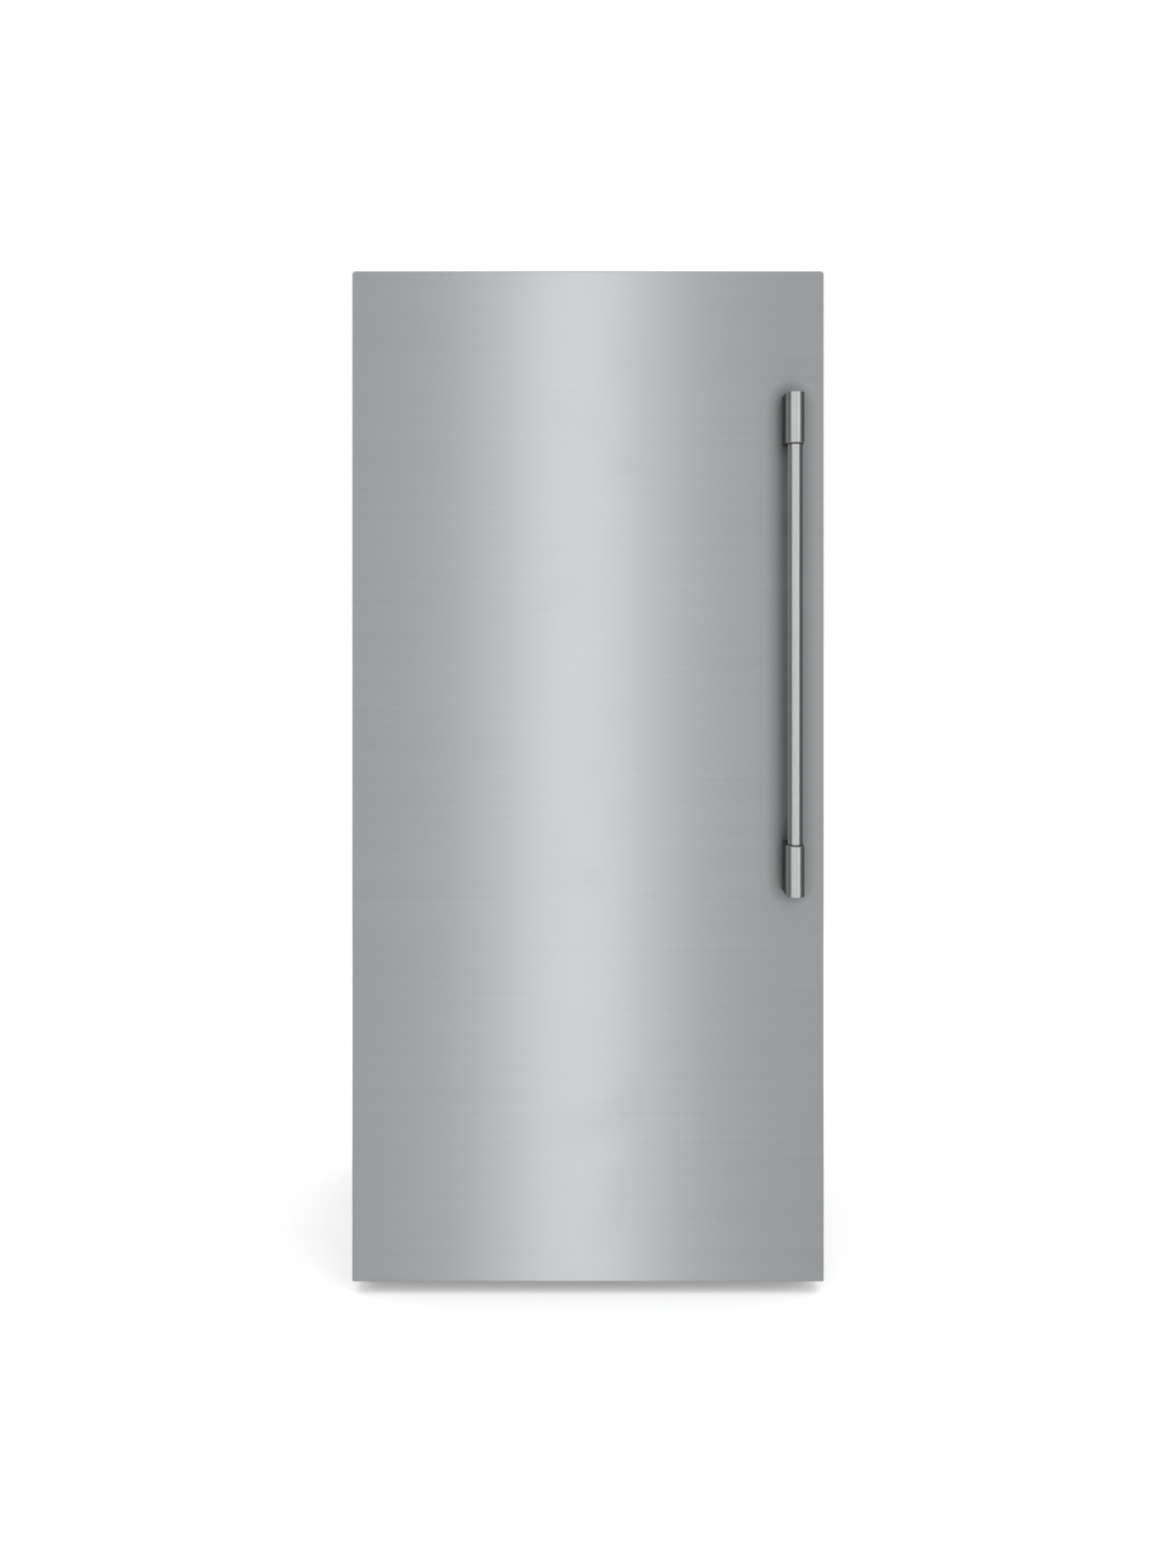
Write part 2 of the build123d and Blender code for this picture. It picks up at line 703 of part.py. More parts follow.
def framed_glass(half_width, y, z, thick):
    """A rectangular rim with a step inside that a pane drops into."""
    block((-half_width, half_width), y, (z, z + thick))
    fillet(edges().filter_by(Axis.X).group_by(Axis.Y)[0], 3)
    inner = (-half_width + rim, half_width - rim)
    block(inner, (y[0] + rim, y[1] - rim), (z, z + thick), Mode.SUBTRACT)
    step = (-half_width + rim - 8, half_width - rim + 8)
    block(step, (y[0] + rim - 8, y[1] - rim + 8), (z + thick - 5, z + thick), Mode.SUBTRACT)


# Cantilever shelves: a rim with two arms whose hooks sit in the track slots.
for number, z in enumerate(shelf_heights, start=1):
    with BuildPart() as shelf_frame:
        framed_glass(shelf_half, (shelf_front, shelf_back), z, 14)
        for side in (-1, 1):
            with BuildSketch(Plane.YZ.offset(side * track_x - 1.5)):
                with BuildLine():
                    Polyline(
                        (shelf_back - 12, z + 9),
                        (shelf_back - 12, z),
                        (shelf_back + 44, z - 42),
                        (track_y[0] - gap, z - 42),
                        (track_y[0] - gap, z + 9),
                        close=True,
                    )
                make_face()
            extrude(amount=3)
            for hook in (-4, -4 - slot_pitch):
                block(
                    (side * track_x - 1.5, side * track_x + 1.5),
                    (track_y[0] - 1, track_y[1] - 0.4),
                    (z + hook - 4, z + hook + 4),
                )
    save(shelf_frame, f"shelf_{number}_frame")

cover_half = 364.0
cover_z = 336.0
cover_thick = 16.0

# Rim over the two crispers, with the partition that hangs between them.
with BuildPart() as drawer_cover_frame:
    framed_glass(cover_half, (shelf_front - 2, shelf_back), cover_z, cover_thick)
    block((-6, 6), (shelf_front - 2, hump_front - 13), (floor_z + 1, cover_z + cover_thick - 6))
save(drawer_cover_frame, "drawer_cover_frame")

# Tempered glass panes of the four shelves and of the crisper cover.
with BuildPart() as glass_panes:
    panes = [(shelf_half, shelf_front, z + 14) for z in shelf_heights]
    panes.append((cover_half, shelf_front - 2, cover_z + cover_thick))
    for half_width, front, top in panes:
        edge = half_width - rim + 7.5
        block(
            (-edge, edge),
            (front + rim - 7.5, shelf_back - rim + 7.5),
            (top - 4.9, top - 0.6),
        )
save(glass_panes, "glass_panes")

# ---- drawers ----
drawer_wall = 2.5


def drawer(x, y, z, side_flange):
    """An open-topped pan with a thicker front, a pull lip and a slot for its humidity slider."""
    with BuildPart() as pan:
        block(x, y, z)
        fillet(pan.edges().filter_by(Axis.Z), 9)
        block(
            (x[0] + drawer_wall, x[1] - drawer_wall),
            (y[0] + 7, y[1] - drawer_wall),
            (z[0] + drawer_wall, z[1] + 1),
            Mode.SUBTRACT,
        )
        middle = (x[0] + x[1]) / 2
        block((middle - 75, middle + 75), (y[0] - 8, y[0] + 1), (z[1] - 12, z[1] - 3))
        block((middle - 75, middle + 75), (y[0] - 8, y[0] - 5), (z[1] - 24, z[1] - 3))
        if side_flange:
            for side in both_sides(x[1] - 1, half_inside - 6):
                block(side, (y[0] + 12, y[1] - 12), (drawer_rail_z + 6.5, drawer_rail_z + 10))
    return pan


drawer_y = (shelf_front, hump_front - 8)
crisper_z = (floor_z + 3, cover_z - 6)
slider_z = 236.0
for name, low, high in (("left", -360, -10), ("right", 10, 360)):
    crisper = drawer((low, high), drawer_y, crisper_z, side_flange=False)
    middle = (low + high) / 2
    with BuildPart() as slotted:
        add(crisper.part)
        block(
            (middle - 46, middle + 46),
            (drawer_y[0] - 1, drawer_y[0] + 3),
            (slider_z - 4.2, slider_z + 4.2),
            Mode.SUBTRACT,
        )
    save(slotted, f"crisper_{name}")
    with BuildPart() as slider:
        block(
            (middle - 40, middle - 16),
            (drawer_y[0] - 0.5, drawer_y[0] + 2.5),
            (slider_z - 3.8, slider_z + 3.8),
        )
        block(
            (middle - 31, middle - 25),
            (drawer_y[0] - 4.5, drawer_y[0]),
            (slider_z - 3.8, slider_z + 3.8),
        )
    save(slider, f"humidity_slider_{name}")

wide_drawer = drawer((-351, 351), (shelf_front, shelf_back - 16), (354, 470), side_flange=True)
save(wide_drawer, "wide_drawer")

# ---- control panel in the roof of the food space ----
panel_back = 40.0
panel_low = 1716.0
with BuildPart() as control_panel:
    block((-170, 170), (panel_front, panel_back), (panel_low, ceiling_z - gap))
    fillet(control_panel.edges().filter_by(Axis.Z), 8)
    fillet(control_panel.edges().group_by(Axis.Z)[0].group_by(Axis.Y)[0], 3)
    for x in button_x.values():
        block(
            (x - 11.2, x + 11.2),
            (panel_front - 1, panel_front + 10),
            (button_z - 6.2, button_z + 6.2),
            Mode.SUBTRACT,
        )
    block((-34, 34), (panel_front - 1, panel_front + 1), (button_z - 9, button_z + 9), Mode.SUBTRACT)
    block(
        (-140.2, 140.2),
        (panel_front + 30, panel_back - 15),
        (panel_low - 1, panel_low + 3),
        Mode.SUBTRACT,
    )
save(control_panel, "control_panel")

with BuildPart() as light_diffuser:
    block((-140, 140), (panel_front + 30.2, panel_back - 15.2), (panel_low - 3, panel_low + 2.8))
    fillet(light_diffuser.edges().group_by(Axis.Z)[0], 2)
save(light_diffuser, "light_diffuser")

for name, x in button_x.items():
    with BuildPart() as button:
        block(
            (x - 11, x + 11), (panel_front - 1.5, panel_front + 7), (button_z - 6, button_z + 6)
        )
        fillet(button.edges().group_by(Axis.Y)[0], 1)
    save(button, f"button_{name}")

# ---- door ----
stud_z = (handle_low + sleeve_length / 2, handle_low + handle_length - sleeve_length / 2)


def door_outline(inset):
    """The door from the front, in from its edge by inset: rounder at the top than at the foot."""
    with BuildSketch(Plane.XZ.offset(-door_front - inset)) as outline:
        with Locations((0, door_bottom + door_height / 2)):
            Rectangle(door_width - 2 * inset, door_height - 2 * inset)
        fillet(outline.vertices().group_by(Axis.Y)[-1], 6 - inset)
        fillet(outline.vertices().group_by(Axis.Y)[0], 3 - inset)
    return outline.sketch


skin_back = door_back - 4.0

# Stainless skin: the front, both sides, and short returns over the two end caps.
with BuildPart() as door_skin:
    extrude(door_outline(0), amount=skin_back - door_front, dir=(0, 1, 0))
    fillet(door_skin.faces().sort_by(Axis.Y)[0].edges(), 2.2)
    extrude(
        door_outline(sheet), amount=skin_back - door_front, dir=(0, 1, 0), mode=Mode.SUBTRACT
    )
    for z in ((door_top - sheet, door_top), (door_bottom, door_bottom + sheet)):
        block((-half_door + 7, half_door - 7), (door_front + 14, skin_back), z, Mode.SUBTRACT)
    for z in stud_z:
        rod((handle_x, door_front, z), (0, 1, 0), sheet, 4.05, Mode.SUBTRACT)
save(door_skin, "door_skin")

cap_height = 23.0
cap_x = (-half_door + sheet + 5.1, half_door - sheet - 5.1)
cap_y = (door_front + sheet + gap, door_back)
full_x = (-half_door + sheet + gap, half_door - sheet - gap)

# Moulded end caps that close the skin, each with the bearing hole of its hinge pin.
with BuildPart() as door_top_cap:
    block(cap_x, cap_y, (door_top - cap_height, door_top - sheet - gap))
    block(full_x, cap_y, (door_top - cap_height, door_top - sheet - 6))
    block(
        (-half_door + 7.1, half_door - 7.1),
        (door_front + 14.1, door_back),
        (door_top - 2, door_top),
    )
    bearing = top_pin_radius + 0.05
    rod((hinge_x, hinge_y, door_top - 23), (0, 0, 1), 23, bearing, Mode.SUBTRACT)
save(door_top_cap, "door_top_cap")

with BuildPart() as door_bottom_cap:
    block(cap_x, cap_y, (door_bottom + sheet + gap, door_bottom + cap_height))
    block(full_x, cap_y, (door_bottom + sheet + 3, door_bottom + cap_height))
    block(
        (-half_door + 7.1, half_door - 7.1),
        (door_front + 14.1, door_back),
        (door_bottom, door_bottom + 2),
    )
    bearing = bottom_pin_radius + 0.05
    rod((hinge_x, hinge_y, door_bottom), (0, 0, 1), 24, bearing, Mode.SUBTRACT)
save(door_bottom_cap, "door_bottom_cap")

core_z = (door_bottom + cap_height + gap, door_top - cap_height - gap)

with BuildPart() as door_foam:
    block(full_x, (cap_y[0], skin_back - gap), core_z)
    for z in stud_z:
        rod((handle_x, cap_y[0], z), (0, 1, 0), 12, 4.2, Mode.SUBTRACT)
save(door_foam, "door_foam")

# Inner liner: a flat panel with a raised dike whose walls carry the lugs of the bins.
all_bins = [*bin_heights.values(), (dairy_z, dairy_height)]
lug_y = (door_back + 14, door_back + 36)
with BuildPart() as door_liner:
    block((-355, 355), (door_back - 1, door_back + dike_reach), (dike_low, dike_high))
    fillet(door_liner.edges().filter_by(Axis.Y), 16)
    fillet(door_liner.faces().sort_by(Axis.Y)[-1].edges(), 5)
    block((-335, 335), (door_back, door_back + 60), (dike_low + 12, dike_high - 12), Mode.SUBTRACT)
    block(full_x, (skin_back, door_back), core_z)
    for z, height in all_bins:
        for x in both_sides(bin_half_width + 1, 336):
            block(x, lug_y, (z + height / 2 - 14, z + height / 2 - 0.3))
save(door_liner, "door_liner")

# Magnetic seal: a narrow root on the liner and a wide, hollow-looking head that meets the cabinet.
seal_x = 395.0
seal_z = (86.0, 1786.0)
with BuildPart() as door_gasket:
    for inset, width, low, high in ((4, 16, 0, 6), (0, 24, 5, 11.6), (7, 10, 3, 9)):
        y = (door_back + low, door_back + high)
        outer = seal_x - inset
        block((-outer, outer), y, (seal_z[0] + inset, seal_z[1] - inset))
    block(
        (-seal_x + 24, seal_x - 24),
        (door_back - 1, door_back + 20),
        (seal_z[0] + 24, seal_z[1] - 24),
        Mode.SUBTRACT,
    )
    block(
        (-seal_x + 20, seal_x - 20),
        (door_back - 1, door_back + 5),
        (seal_z[0] + 20, seal_z[1] - 20),
        Mode.SUBTRACT,
    )
save(door_gasket, "door_gasket")


def shelf_bin(z, height):
    """A door bin: an open tray with sloping toe and a hook at each end for the liner's lugs."""
    with BuildPart() as tray:
        for inset, mode in ((0, Mode.ADD), (drawer_wall, Mode.SUBTRACT)):
            top = z + height + inset
            with BuildSketch(Plane.YZ.offset(inset - bin_half_width)):
                with BuildLine():
                    Polyline(
                        (bin_back + inset, z + inset),
                        (bin_front - 12 - inset * 0.6, z + inset),
                        (bin_front - inset, z + 18 + inset * 0.3),
                        (bin_front - inset, top),
                        (bin_back + inset, top),
                        close=True,
                    )
                make_face()
            extrude(amount=2 * (bin_half_width - inset), mode=mode)
        for x in both_sides(bin_half_width - 1, 334.4):
            block(x, lug_y, (z + height / 2, z + height / 2 + 12))
    return tray


for name, (z, height) in bin_heights.items():
    save(shelf_bin(z, height), f"door_bin_{name}")

flap_pivot_y = door_back + 12.0
flap_pivot_z = dairy_z + dairy_height + 12.0
flap_half = 322.0

# The dairy box is one more bin, with an ear at each end that holds the pins of its flap.
with BuildPart() as dairy_box:
    add(shelf_bin(dairy_z, dairy_height).part)
    for x in both_sides(flap_half + 0.3, bin_half_width):
        block(x, (flap_pivot_y - 8, flap_pivot_y + 8), (flap_pivot_z - 14, flap_pivot_z + 7))
    for side in (-1, 1):
        rod((side * flap_half, flap_pivot_y, flap_pivot_z), (side, 0, 0), 12, 3.05, Mode.SUBTRACT)
save(dairy_box, "dairy_box")

# Clear flap over the dairy box: it turns up about pins near the back of the box.
with BuildPart() as dairy_flap:
    with BuildSketch(Plane.YZ.offset(-flap_half)):
        with BuildLine():
            Polyline(
                (flap_pivot_y - 6, flap_pivot_z - 3),
                (bin_front + 3, flap_pivot_z - 3),
                (bin_front + 3, dairy_z + 26),
                (bin_front + 5.5, dairy_z + 26),
                (bin_front + 5.5, flap_pivot_z + 3),
                (flap_pivot_y - 6, flap_pivot_z + 3),
                close=True,
            )
        make_face()
    extrude(amount=2 * flap_half)
    block(
        (-flap_half + 8, flap_half - 8),
        (flap_pivot_y + 8, bin_front),
        (flap_pivot_z - 4, flap_pivot_z + 0.5),
        Mode.SUBTRACT,
    )
    for side in (-1, 1):
        rod((side * flap_half, flap_pivot_y, flap_pivot_z), (side, 0, 0), 7, 3)
save(dairy_flap, "dairy_flap")

# ---- handle ----
post_end = 20.0  # solid stretch of a post beyond the grip's end
grip_start = (handle_x, handle_y, handle_low + post_end)
grip_length = handle_length - 2 * post_end
upper_low = handle_low + handle_length - sleeve_length
stud_radius = 4.0

# Tubular grip between two round-nosed posts.
with BuildPart() as handle_bar:
    rod(grip_start, (0, 0, 1), grip_length, bar_radius)
    rod(grip_start, (0, 0, 1), grip_length, bar_radius - 2, Mode.SUBTRACT)
save(handle_bar, "handle_bar")

# Each post is bored from its inner end for the grip, and from the back for its stud and set screw.
for name, low, bore_low in (
    ("lower", handle_low, handle_low + post_end - gap),
    ("upper", upper_low, upper_low),
):
    with BuildPart() as post:
        with BuildSketch(Plane.XY.offset(low)):
            with Locations((handle_x, handle_y)):
                Circle(handle_radius)
            with Locations((handle_x, (handle_y + door_front) / 2)):
                Rectangle(2 * handle_radius, handle_offset)
        extrude(amount=sleeve_length)
        rims = post.edges().filter_by(Axis.Z, reverse=True)
        chamfer([rim for rim in rims if rim.center().Y < door_front - 1], 1.2)
        bore = (handle_x, handle_y, bore_low)
        bore_length = sleeve_length - post_end + gap
        rod(bore, (0, 0, 1), bore_length, bar_radius + 0.05, Mode.SUBTRACT)
        middle = low + sleeve_length / 2
        rod((handle_x, door_front, middle), (0, -1, 0), 22, stud_radius + 0.05, Mode.SUBTRACT)
        rod((handle_x, door_front - 12, low), (0, 0, 1), 14, 2.5, Mode.SUBTRACT)
    save(post, f"handle_end_{name}")

with BuildPart() as handle_studs:
    for z in stud_z:
        rod((handle_x, door_front - 20, z), (0, 1, 0), 32, stud_radius)
save(handle_studs, "handle_studs")
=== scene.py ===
import json
from math import cos, pi, radians, sin
import bmesh
import bpy
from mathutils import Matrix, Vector


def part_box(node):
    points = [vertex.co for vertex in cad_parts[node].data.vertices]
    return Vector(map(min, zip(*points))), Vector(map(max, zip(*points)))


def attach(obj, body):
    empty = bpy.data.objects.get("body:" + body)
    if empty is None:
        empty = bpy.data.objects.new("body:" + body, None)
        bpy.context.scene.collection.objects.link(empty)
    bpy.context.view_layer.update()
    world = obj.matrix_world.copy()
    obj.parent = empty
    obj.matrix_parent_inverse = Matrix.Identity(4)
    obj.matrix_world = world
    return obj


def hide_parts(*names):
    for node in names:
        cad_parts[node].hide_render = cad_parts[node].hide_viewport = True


# Refrigerator column in brushed steel. Metres, door towards -Y, floor at zero.

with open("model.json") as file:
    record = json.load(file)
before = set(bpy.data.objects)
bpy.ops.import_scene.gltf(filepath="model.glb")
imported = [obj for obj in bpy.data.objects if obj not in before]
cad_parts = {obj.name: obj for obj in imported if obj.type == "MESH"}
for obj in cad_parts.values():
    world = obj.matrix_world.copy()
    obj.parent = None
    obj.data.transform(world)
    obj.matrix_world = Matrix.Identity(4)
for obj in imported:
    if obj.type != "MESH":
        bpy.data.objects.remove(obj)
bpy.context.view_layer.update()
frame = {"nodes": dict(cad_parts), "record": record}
nodes = frame["nodes"]
scene = bpy.context.scene
scene.view_settings.view_transform = "Standard"
mm = 0.001
print("frame loaded with", len(nodes), "nodes")


cameraSettings = {
    "eyeHeight": 1.237,
    "distance": 2.42,  # from the door's front face
    "framedHeight": 2.777,  # what fits in the picture at the door's face
    "rise": -0.12,
}
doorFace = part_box("door_skin")[0][1]


def addCamera(settings):
    data = bpy.data.cameras.new("camera")
    data.lens = data.sensor_width * settings["distance"] / settings["framedHeight"]
    data.shift_y = settings["rise"]
    data.clip_end = 60
    camera = bpy.data.objects.new("camera", data)
    camera.location = (0.0, doorFace - settings["distance"], settings["eyeHeight"])
    camera.rotation_euler = (pi / 2, 0, 0)
    scene.collection.objects.link(camera)
    scene.camera = camera


addCamera(cameraSettings)

lightSettings = {
    # name: (place, aim, width, height, power, seen in gloss)
    "stripLight": ((-0.045, -3.6, 1.2), (-0.045, 0.0, 1.2), 0.3, 9.0, 18.8, True),
    "leftSoftbox": ((-2.6, -3.3, 1.4), (0.0, -0.3, 1.2), 1.6, 5.0, 27.0, True),
    "rightSoftbox": ((2.6, -3.3, 1.4), (0.0, -0.3, 1.2), 1.6, 5.0, 27.0, True),
    "ceilingPanel": ((0.0, -0.6, 4.2), (0.0, 0.0, 0.0), 5.0, 4.0, 60.0, False),
    "rearFill": ((1.8, 3.8, 2.4), (0.0, 0.0, 0.9), 2.5, 2.5, 34.0, True),
}


def addLights(settings):
    for name, (place, aim, width, height, power, inGloss) in settings.items():
        data = bpy.data.lights.new(name, "AREA")
        data.shape = "RECTANGLE"
        data.size = width
        data.size_y = height
        data.energy = power
        light = bpy.data.objects.new(name, data)
        light.location = place
        light.rotation_euler = (Vector(aim) - Vector(place)).to_track_quat("-Z", "Y").to_euler()
        light.visible_glossy = inGloss
        light.visible_camera = False
        scene.collection.objects.link(light)


addLights(lightSettings)


def addNode(tree, kind, values=None, **settings):
    node = tree.nodes.new(kind)
    for name, value in settings.items():
        setattr(node, name, value)
    for name, value in (values or {}).items():
        if isinstance(value, bpy.types.NodeSocket):
            tree.links.new(value, node.inputs[name])
        else:
            node.inputs[name].default_value = value
    return node


roomSettings = {"front": 0.465, "side": 0.085, "turnStart": 0.4, "turnEnd": 0.82, "backdrop": 1.0}


def addRoom(settings):  # an even grey room, darker to the left and right
    world = bpy.data.worlds.new("room")
    scene.world = world
    world.use_nodes = True
    tree = world.node_tree
    tree.nodes.clear()
    direction = addNode(tree, "ShaderNodeTexCoord").outputs["Generated"]
    sideways = addNode(tree, "ShaderNodeSeparateXYZ", {0: direction}).outputs["X"]
    sideways = addNode(tree, "ShaderNodeMath", {0: sideways}, operation="ABSOLUTE").outputs[0]
    level = addNode(
        tree,
        "ShaderNodeMapRange",
        {
            "Value": sideways,
            "From Min": settings["turnStart"],
            "From Max": settings["turnEnd"],
            "To Min": settings["front"],
            "To Max": settings["side"],
        },
        interpolation_type="SMOOTHSTEP",
    ).outputs[0]
    white = (1.0, 1.0, 1.0, 1.0)
    even = addNode(tree, "ShaderNodeBackground", {"Color": white, "Strength": level})
    bright = addNode(tree, "ShaderNodeBackground", {"Color": white, "Strength": settings["backdrop"]})
    path = addNode(tree, "ShaderNodeLightPath").outputs
    plain = addNode(
        tree, "ShaderNodeMath", {0: path["Is Camera Ray"], 1: path["Is Diffuse Ray"]}, operation="MAXIMUM"
    )
    mixed = addNode(
        tree, "ShaderNodeMixShader", {0: plain.outputs[0], 1: even.outputs[0], 2: bright.outputs[0]}
    )
    addNode(tree, "ShaderNodeOutputWorld", {"Surface": mixed.outputs[0]})


addRoom(roomSettings)


def newShaderGroup(name, inputs, outputs):
    tree = bpy.data.node_groups.new(name, "ShaderNodeTree")
    for label, kind, value in inputs:
        socket = tree.interface.new_socket(name=label, in_out="INPUT", socket_type=kind)
        socket.default_value = value
    for label, kind in outputs:
        tree.interface.new_socket(name=label, in_out="OUTPUT", socket_type=kind)
    given = tree.nodes.new("NodeGroupInput").outputs
    result = tree.nodes.new("NodeGroupOutput").inputs
    return tree, given, result


def brushedGrainGroup():  # long streaks, one scale for each axis
    tree, given, result = newShaderGroup(
        "brushedGrain",
        [("Spread", "NodeSocketVector", (6, 6, 900)), ("Coarse", "NodeSocketFloat", 0.12)],
        [("Streaks", "NodeSocketFloat")],
    )
    place = addNode(tree, "ShaderNodeTexCoord").outputs["Object"]
    fineSpread = addNode(tree, "ShaderNodeVectorMath", {0: place, 1: given["Spread"]}, operation="MULTIPLY")
    coarseSpread = addNode(
        tree, "ShaderNodeVectorMath", {0: fineSpread.outputs[0], "Scale": given["Coarse"]}, operation="SCALE"
    )
    fine = addNode(tree, "ShaderNodeTexNoise", {"Vector": fineSpread.outputs[0], "Scale": 1.0, "Detail": 3.0})
    broad = addNode(
        tree, "ShaderNodeTexNoise", {"Vector": coarseSpread.outputs[0], "Scale": 1.0, "Detail": 2.0}
    )
    both = addNode(
        tree, "ShaderNodeMix", {0: 0.4, "A": fine.outputs[0], "B": broad.outputs[0]}, data_type="FLOAT"
    )
    stretched = addNode(
        tree, "ShaderNodeMapRange", {"Value": both.outputs[0], "From Min": 0.3, "From Max": 0.7}
    )
    tree.links.new(stretched.outputs[0], result["Streaks"])
    return tree


def cloudGroup():  # soft uneven patches, from 0 to 1
    tree, given, result = newShaderGroup(
        "softPatches",
        [
            ("Scale", "NodeSocketFloat", 4.0),
            ("Start", "NodeSocketFloat", 0.45),
            ("End", "NodeSocketFloat", 0.7),
            ("Stretch", "NodeSocketVector", (1, 1, 1)),
        ],
        [("Mask", "NodeSocketFloat")],
    )
    place = addNode(tree, "ShaderNodeTexCoord").outputs["Object"]
    stretched = addNode(tree, "ShaderNodeVectorMath", {0: place, 1: given["Stretch"]}, operation="MULTIPLY")
    noise = addNode(
        tree,
        "ShaderNodeTexNoise",
        {"Vector": stretched.outputs[0], "Scale": given["Scale"], "Detail": 5.0, "Distortion": 0.6},
    )
    mask = addNode(
        tree,
        "ShaderNodeMapRange",
        {"Value": noise.outputs[0], "From Min": given["Start"], "From Max": given["End"]},
        interpolation_type="SMOOTHSTEP",
    )
    tree.links.new(mask.outputs[0], result["Mask"])
    return tree


def edgeWearGroup():  # 1 on sharp edges, broken up by noise
    tree, given, result = newShaderGroup(
        "edgeWear",
        [("Radius", "NodeSocketFloat", 0.0015), ("Strength", "NodeSocketFloat", 4.0)],
        [("Mask", "NodeSocketFloat")],
    )
    rounded = addNode(tree, "ShaderNodeBevel", {"Radius": given["Radius"]}, samples=4)
    flat = addNode(tree, "ShaderNodeNewGeometry").outputs["Normal"]
    facing = addNode(
        tree, "ShaderNodeVectorMath", {0: rounded.outputs[0], 1: flat}, operation="DOT_PRODUCT"
    ).outputs["Value"]
    turned = addNode(tree, "ShaderNodeMath", {0: 1.0, 1: facing}, operation="SUBTRACT")
    place = addNode(tree, "ShaderNodeTexCoord").outputs["Object"]
    noise = addNode(tree, "ShaderNodeTexNoise", {"Vector": place, "Scale": 90.0, "Detail": 4.0})
    broken = addNode(
        tree, "ShaderNodeMath", {0: turned.outputs[0], 1: noise.outputs[0]}, operation="MULTIPLY"
    )
    strong = addNode(
        tree,
        "ShaderNodeMath",
        {0: broken.outputs[0], 1: given["Strength"]},
        operation="MULTIPLY",
        use_clamp=True,
    )
    tree.links.new(strong.outputs[0], result["Mask"])
    return tree


def mouldedGrainGroup():  # fine leather-like texture of moulded plastic or powder paint
    tree, given, result = newShaderGroup(
        "mouldedGrain",
        [("Scale", "NodeSocketFloat", 900.0), ("Roundness", "NodeSocketFloat", 0.5)],
        [("Height", "NodeSocketFloat")],
    )
    place = addNode(tree, "ShaderNodeTexCoord").outputs["Object"]
    noise = addNode(tree, "ShaderNodeTexNoise", {"Vector": place, "Scale": given["Scale"], "Detail": 2.0})
    cells = addNode(
        tree, "ShaderNodeTexVoronoi", {"Vector": place, "Scale": given["Scale"]}, feature="SMOOTH_F1"
    )
    mixed = addNode(
        tree,
        "ShaderNodeMix",
        {0: given["Roundness"], "A": noise.outputs[0], "B": cells.outputs["Distance"]},
        data_type="FLOAT",
    )
    tree.links.new(mixed.outputs[0], result["Height"])
    return tree


def settledDustGroup():  # on faces that look up
    tree, given, result = newShaderGroup(
        "settledDust",
        [("Amount", "NodeSocketFloat", 0.3), ("Scale", "NodeSocketFloat", 30.0)],
        [("Mask", "NodeSocketFloat")],
    )
    up = addNode(tree, "ShaderNodeSeparateXYZ", {0: addNode(tree, "ShaderNodeNewGeometry").outputs["Normal"]})
    flat = addNode(
        tree, "ShaderNodeMapRange", {"Value": up.outputs["Z"], "From Min": 0.6, "From Max": 0.95}
    )
    place = addNode(tree, "ShaderNodeTexCoord").outputs["Object"]
    noise = addNode(tree, "ShaderNodeTexNoise", {"Vector": place, "Scale": given["Scale"], "Detail": 6.0})
    speckle = addNode(tree, "ShaderNodeMath", {0: flat.outputs[0], 1: noise.outputs[0]}, operation="MULTIPLY")
    mask = addNode(
        tree,
        "ShaderNodeMath",
        {0: speckle.outputs[0], 1: given["Amount"]},
        operation="MULTIPLY",
        use_clamp=True,
    )
    tree.links.new(mask.outputs[0], result["Mask"])
    return tree


groups = {
    "grain": brushedGrainGroup(),
    "patches": cloudGroup(),
    "wear": edgeWearGroup(),
    "moulded": mouldedGrainGroup(),
    "dust": settledDustGroup(),
}
print("shader groups built")


def newMaterial(name, **sockets):
    material = bpy.data.materials.new(name)
    material.use_nodes = True
    tree = material.node_tree
    shader = tree.nodes["Principled BSDF"]
    for label, value in sockets.items():
        shader.inputs[label.replace("_", " ")].default_value = value
    return material, tree, shader


def useGroup(tree, name, **values):
    return addNode(tree, "ShaderNodeGroup", values, node_tree=groups[name]).outputs[0]


def blendColours(tree, mask, first, second):
    node = addNode(tree, "ShaderNodeMix", data_type="RGBA")
    tree.links.new(mask, node.inputs[0])  # 6 and 7 are the colours to mix, and output 2 is the result
    for socket, value in ((node.inputs[6], first), (node.inputs[7], second)):
        if isinstance(value, bpy.types.NodeSocket):
            tree.links.new(value, socket)
        else:
            socket.default_value = (*value, 1.0)
    return node.outputs[2]


def between(tree, mask, low, high):
    node = addNode(tree, "ShaderNodeMapRange", {"Value": mask, "To Min": low, "To Max": high})
    return node.outputs[0]


def bumped(tree, shader, height, strength, distance):
    bump = addNode(tree, "ShaderNodeBump", {"Height": height, "Strength": strength, "Distance": distance})
    tree.links.new(bump.outputs[0], shader.inputs["Normal"])


steelFinishes = {
    # name: (dark, light, low roughness, high roughness, streaks for each axis, anisotropy, bump)
    "doorSteel": ((0.580, 0.600, 0.612), (0.620, 0.640, 0.651), 0.35, 0.39, (5, 5, 800), 0.75, 0.01),
    "handleSteel": ((0.67, 0.68, 0.685), (0.71, 0.72, 0.725), 0.36, 0.40, (260, 260, 6), 0.0, 0.0),
    "postSteelWithPaintedShade": ((0.67, 0.68, 0.685), (0.71, 0.72, 0.725), 0.36, 0.40, (260, 260, 6), 0.0, 0.0),
    "trimSteel": ((0.60, 0.61, 0.62), (0.72, 0.73, 0.74), 0.22, 0.32, (5, 700, 900), 0.3, 0.03),
}
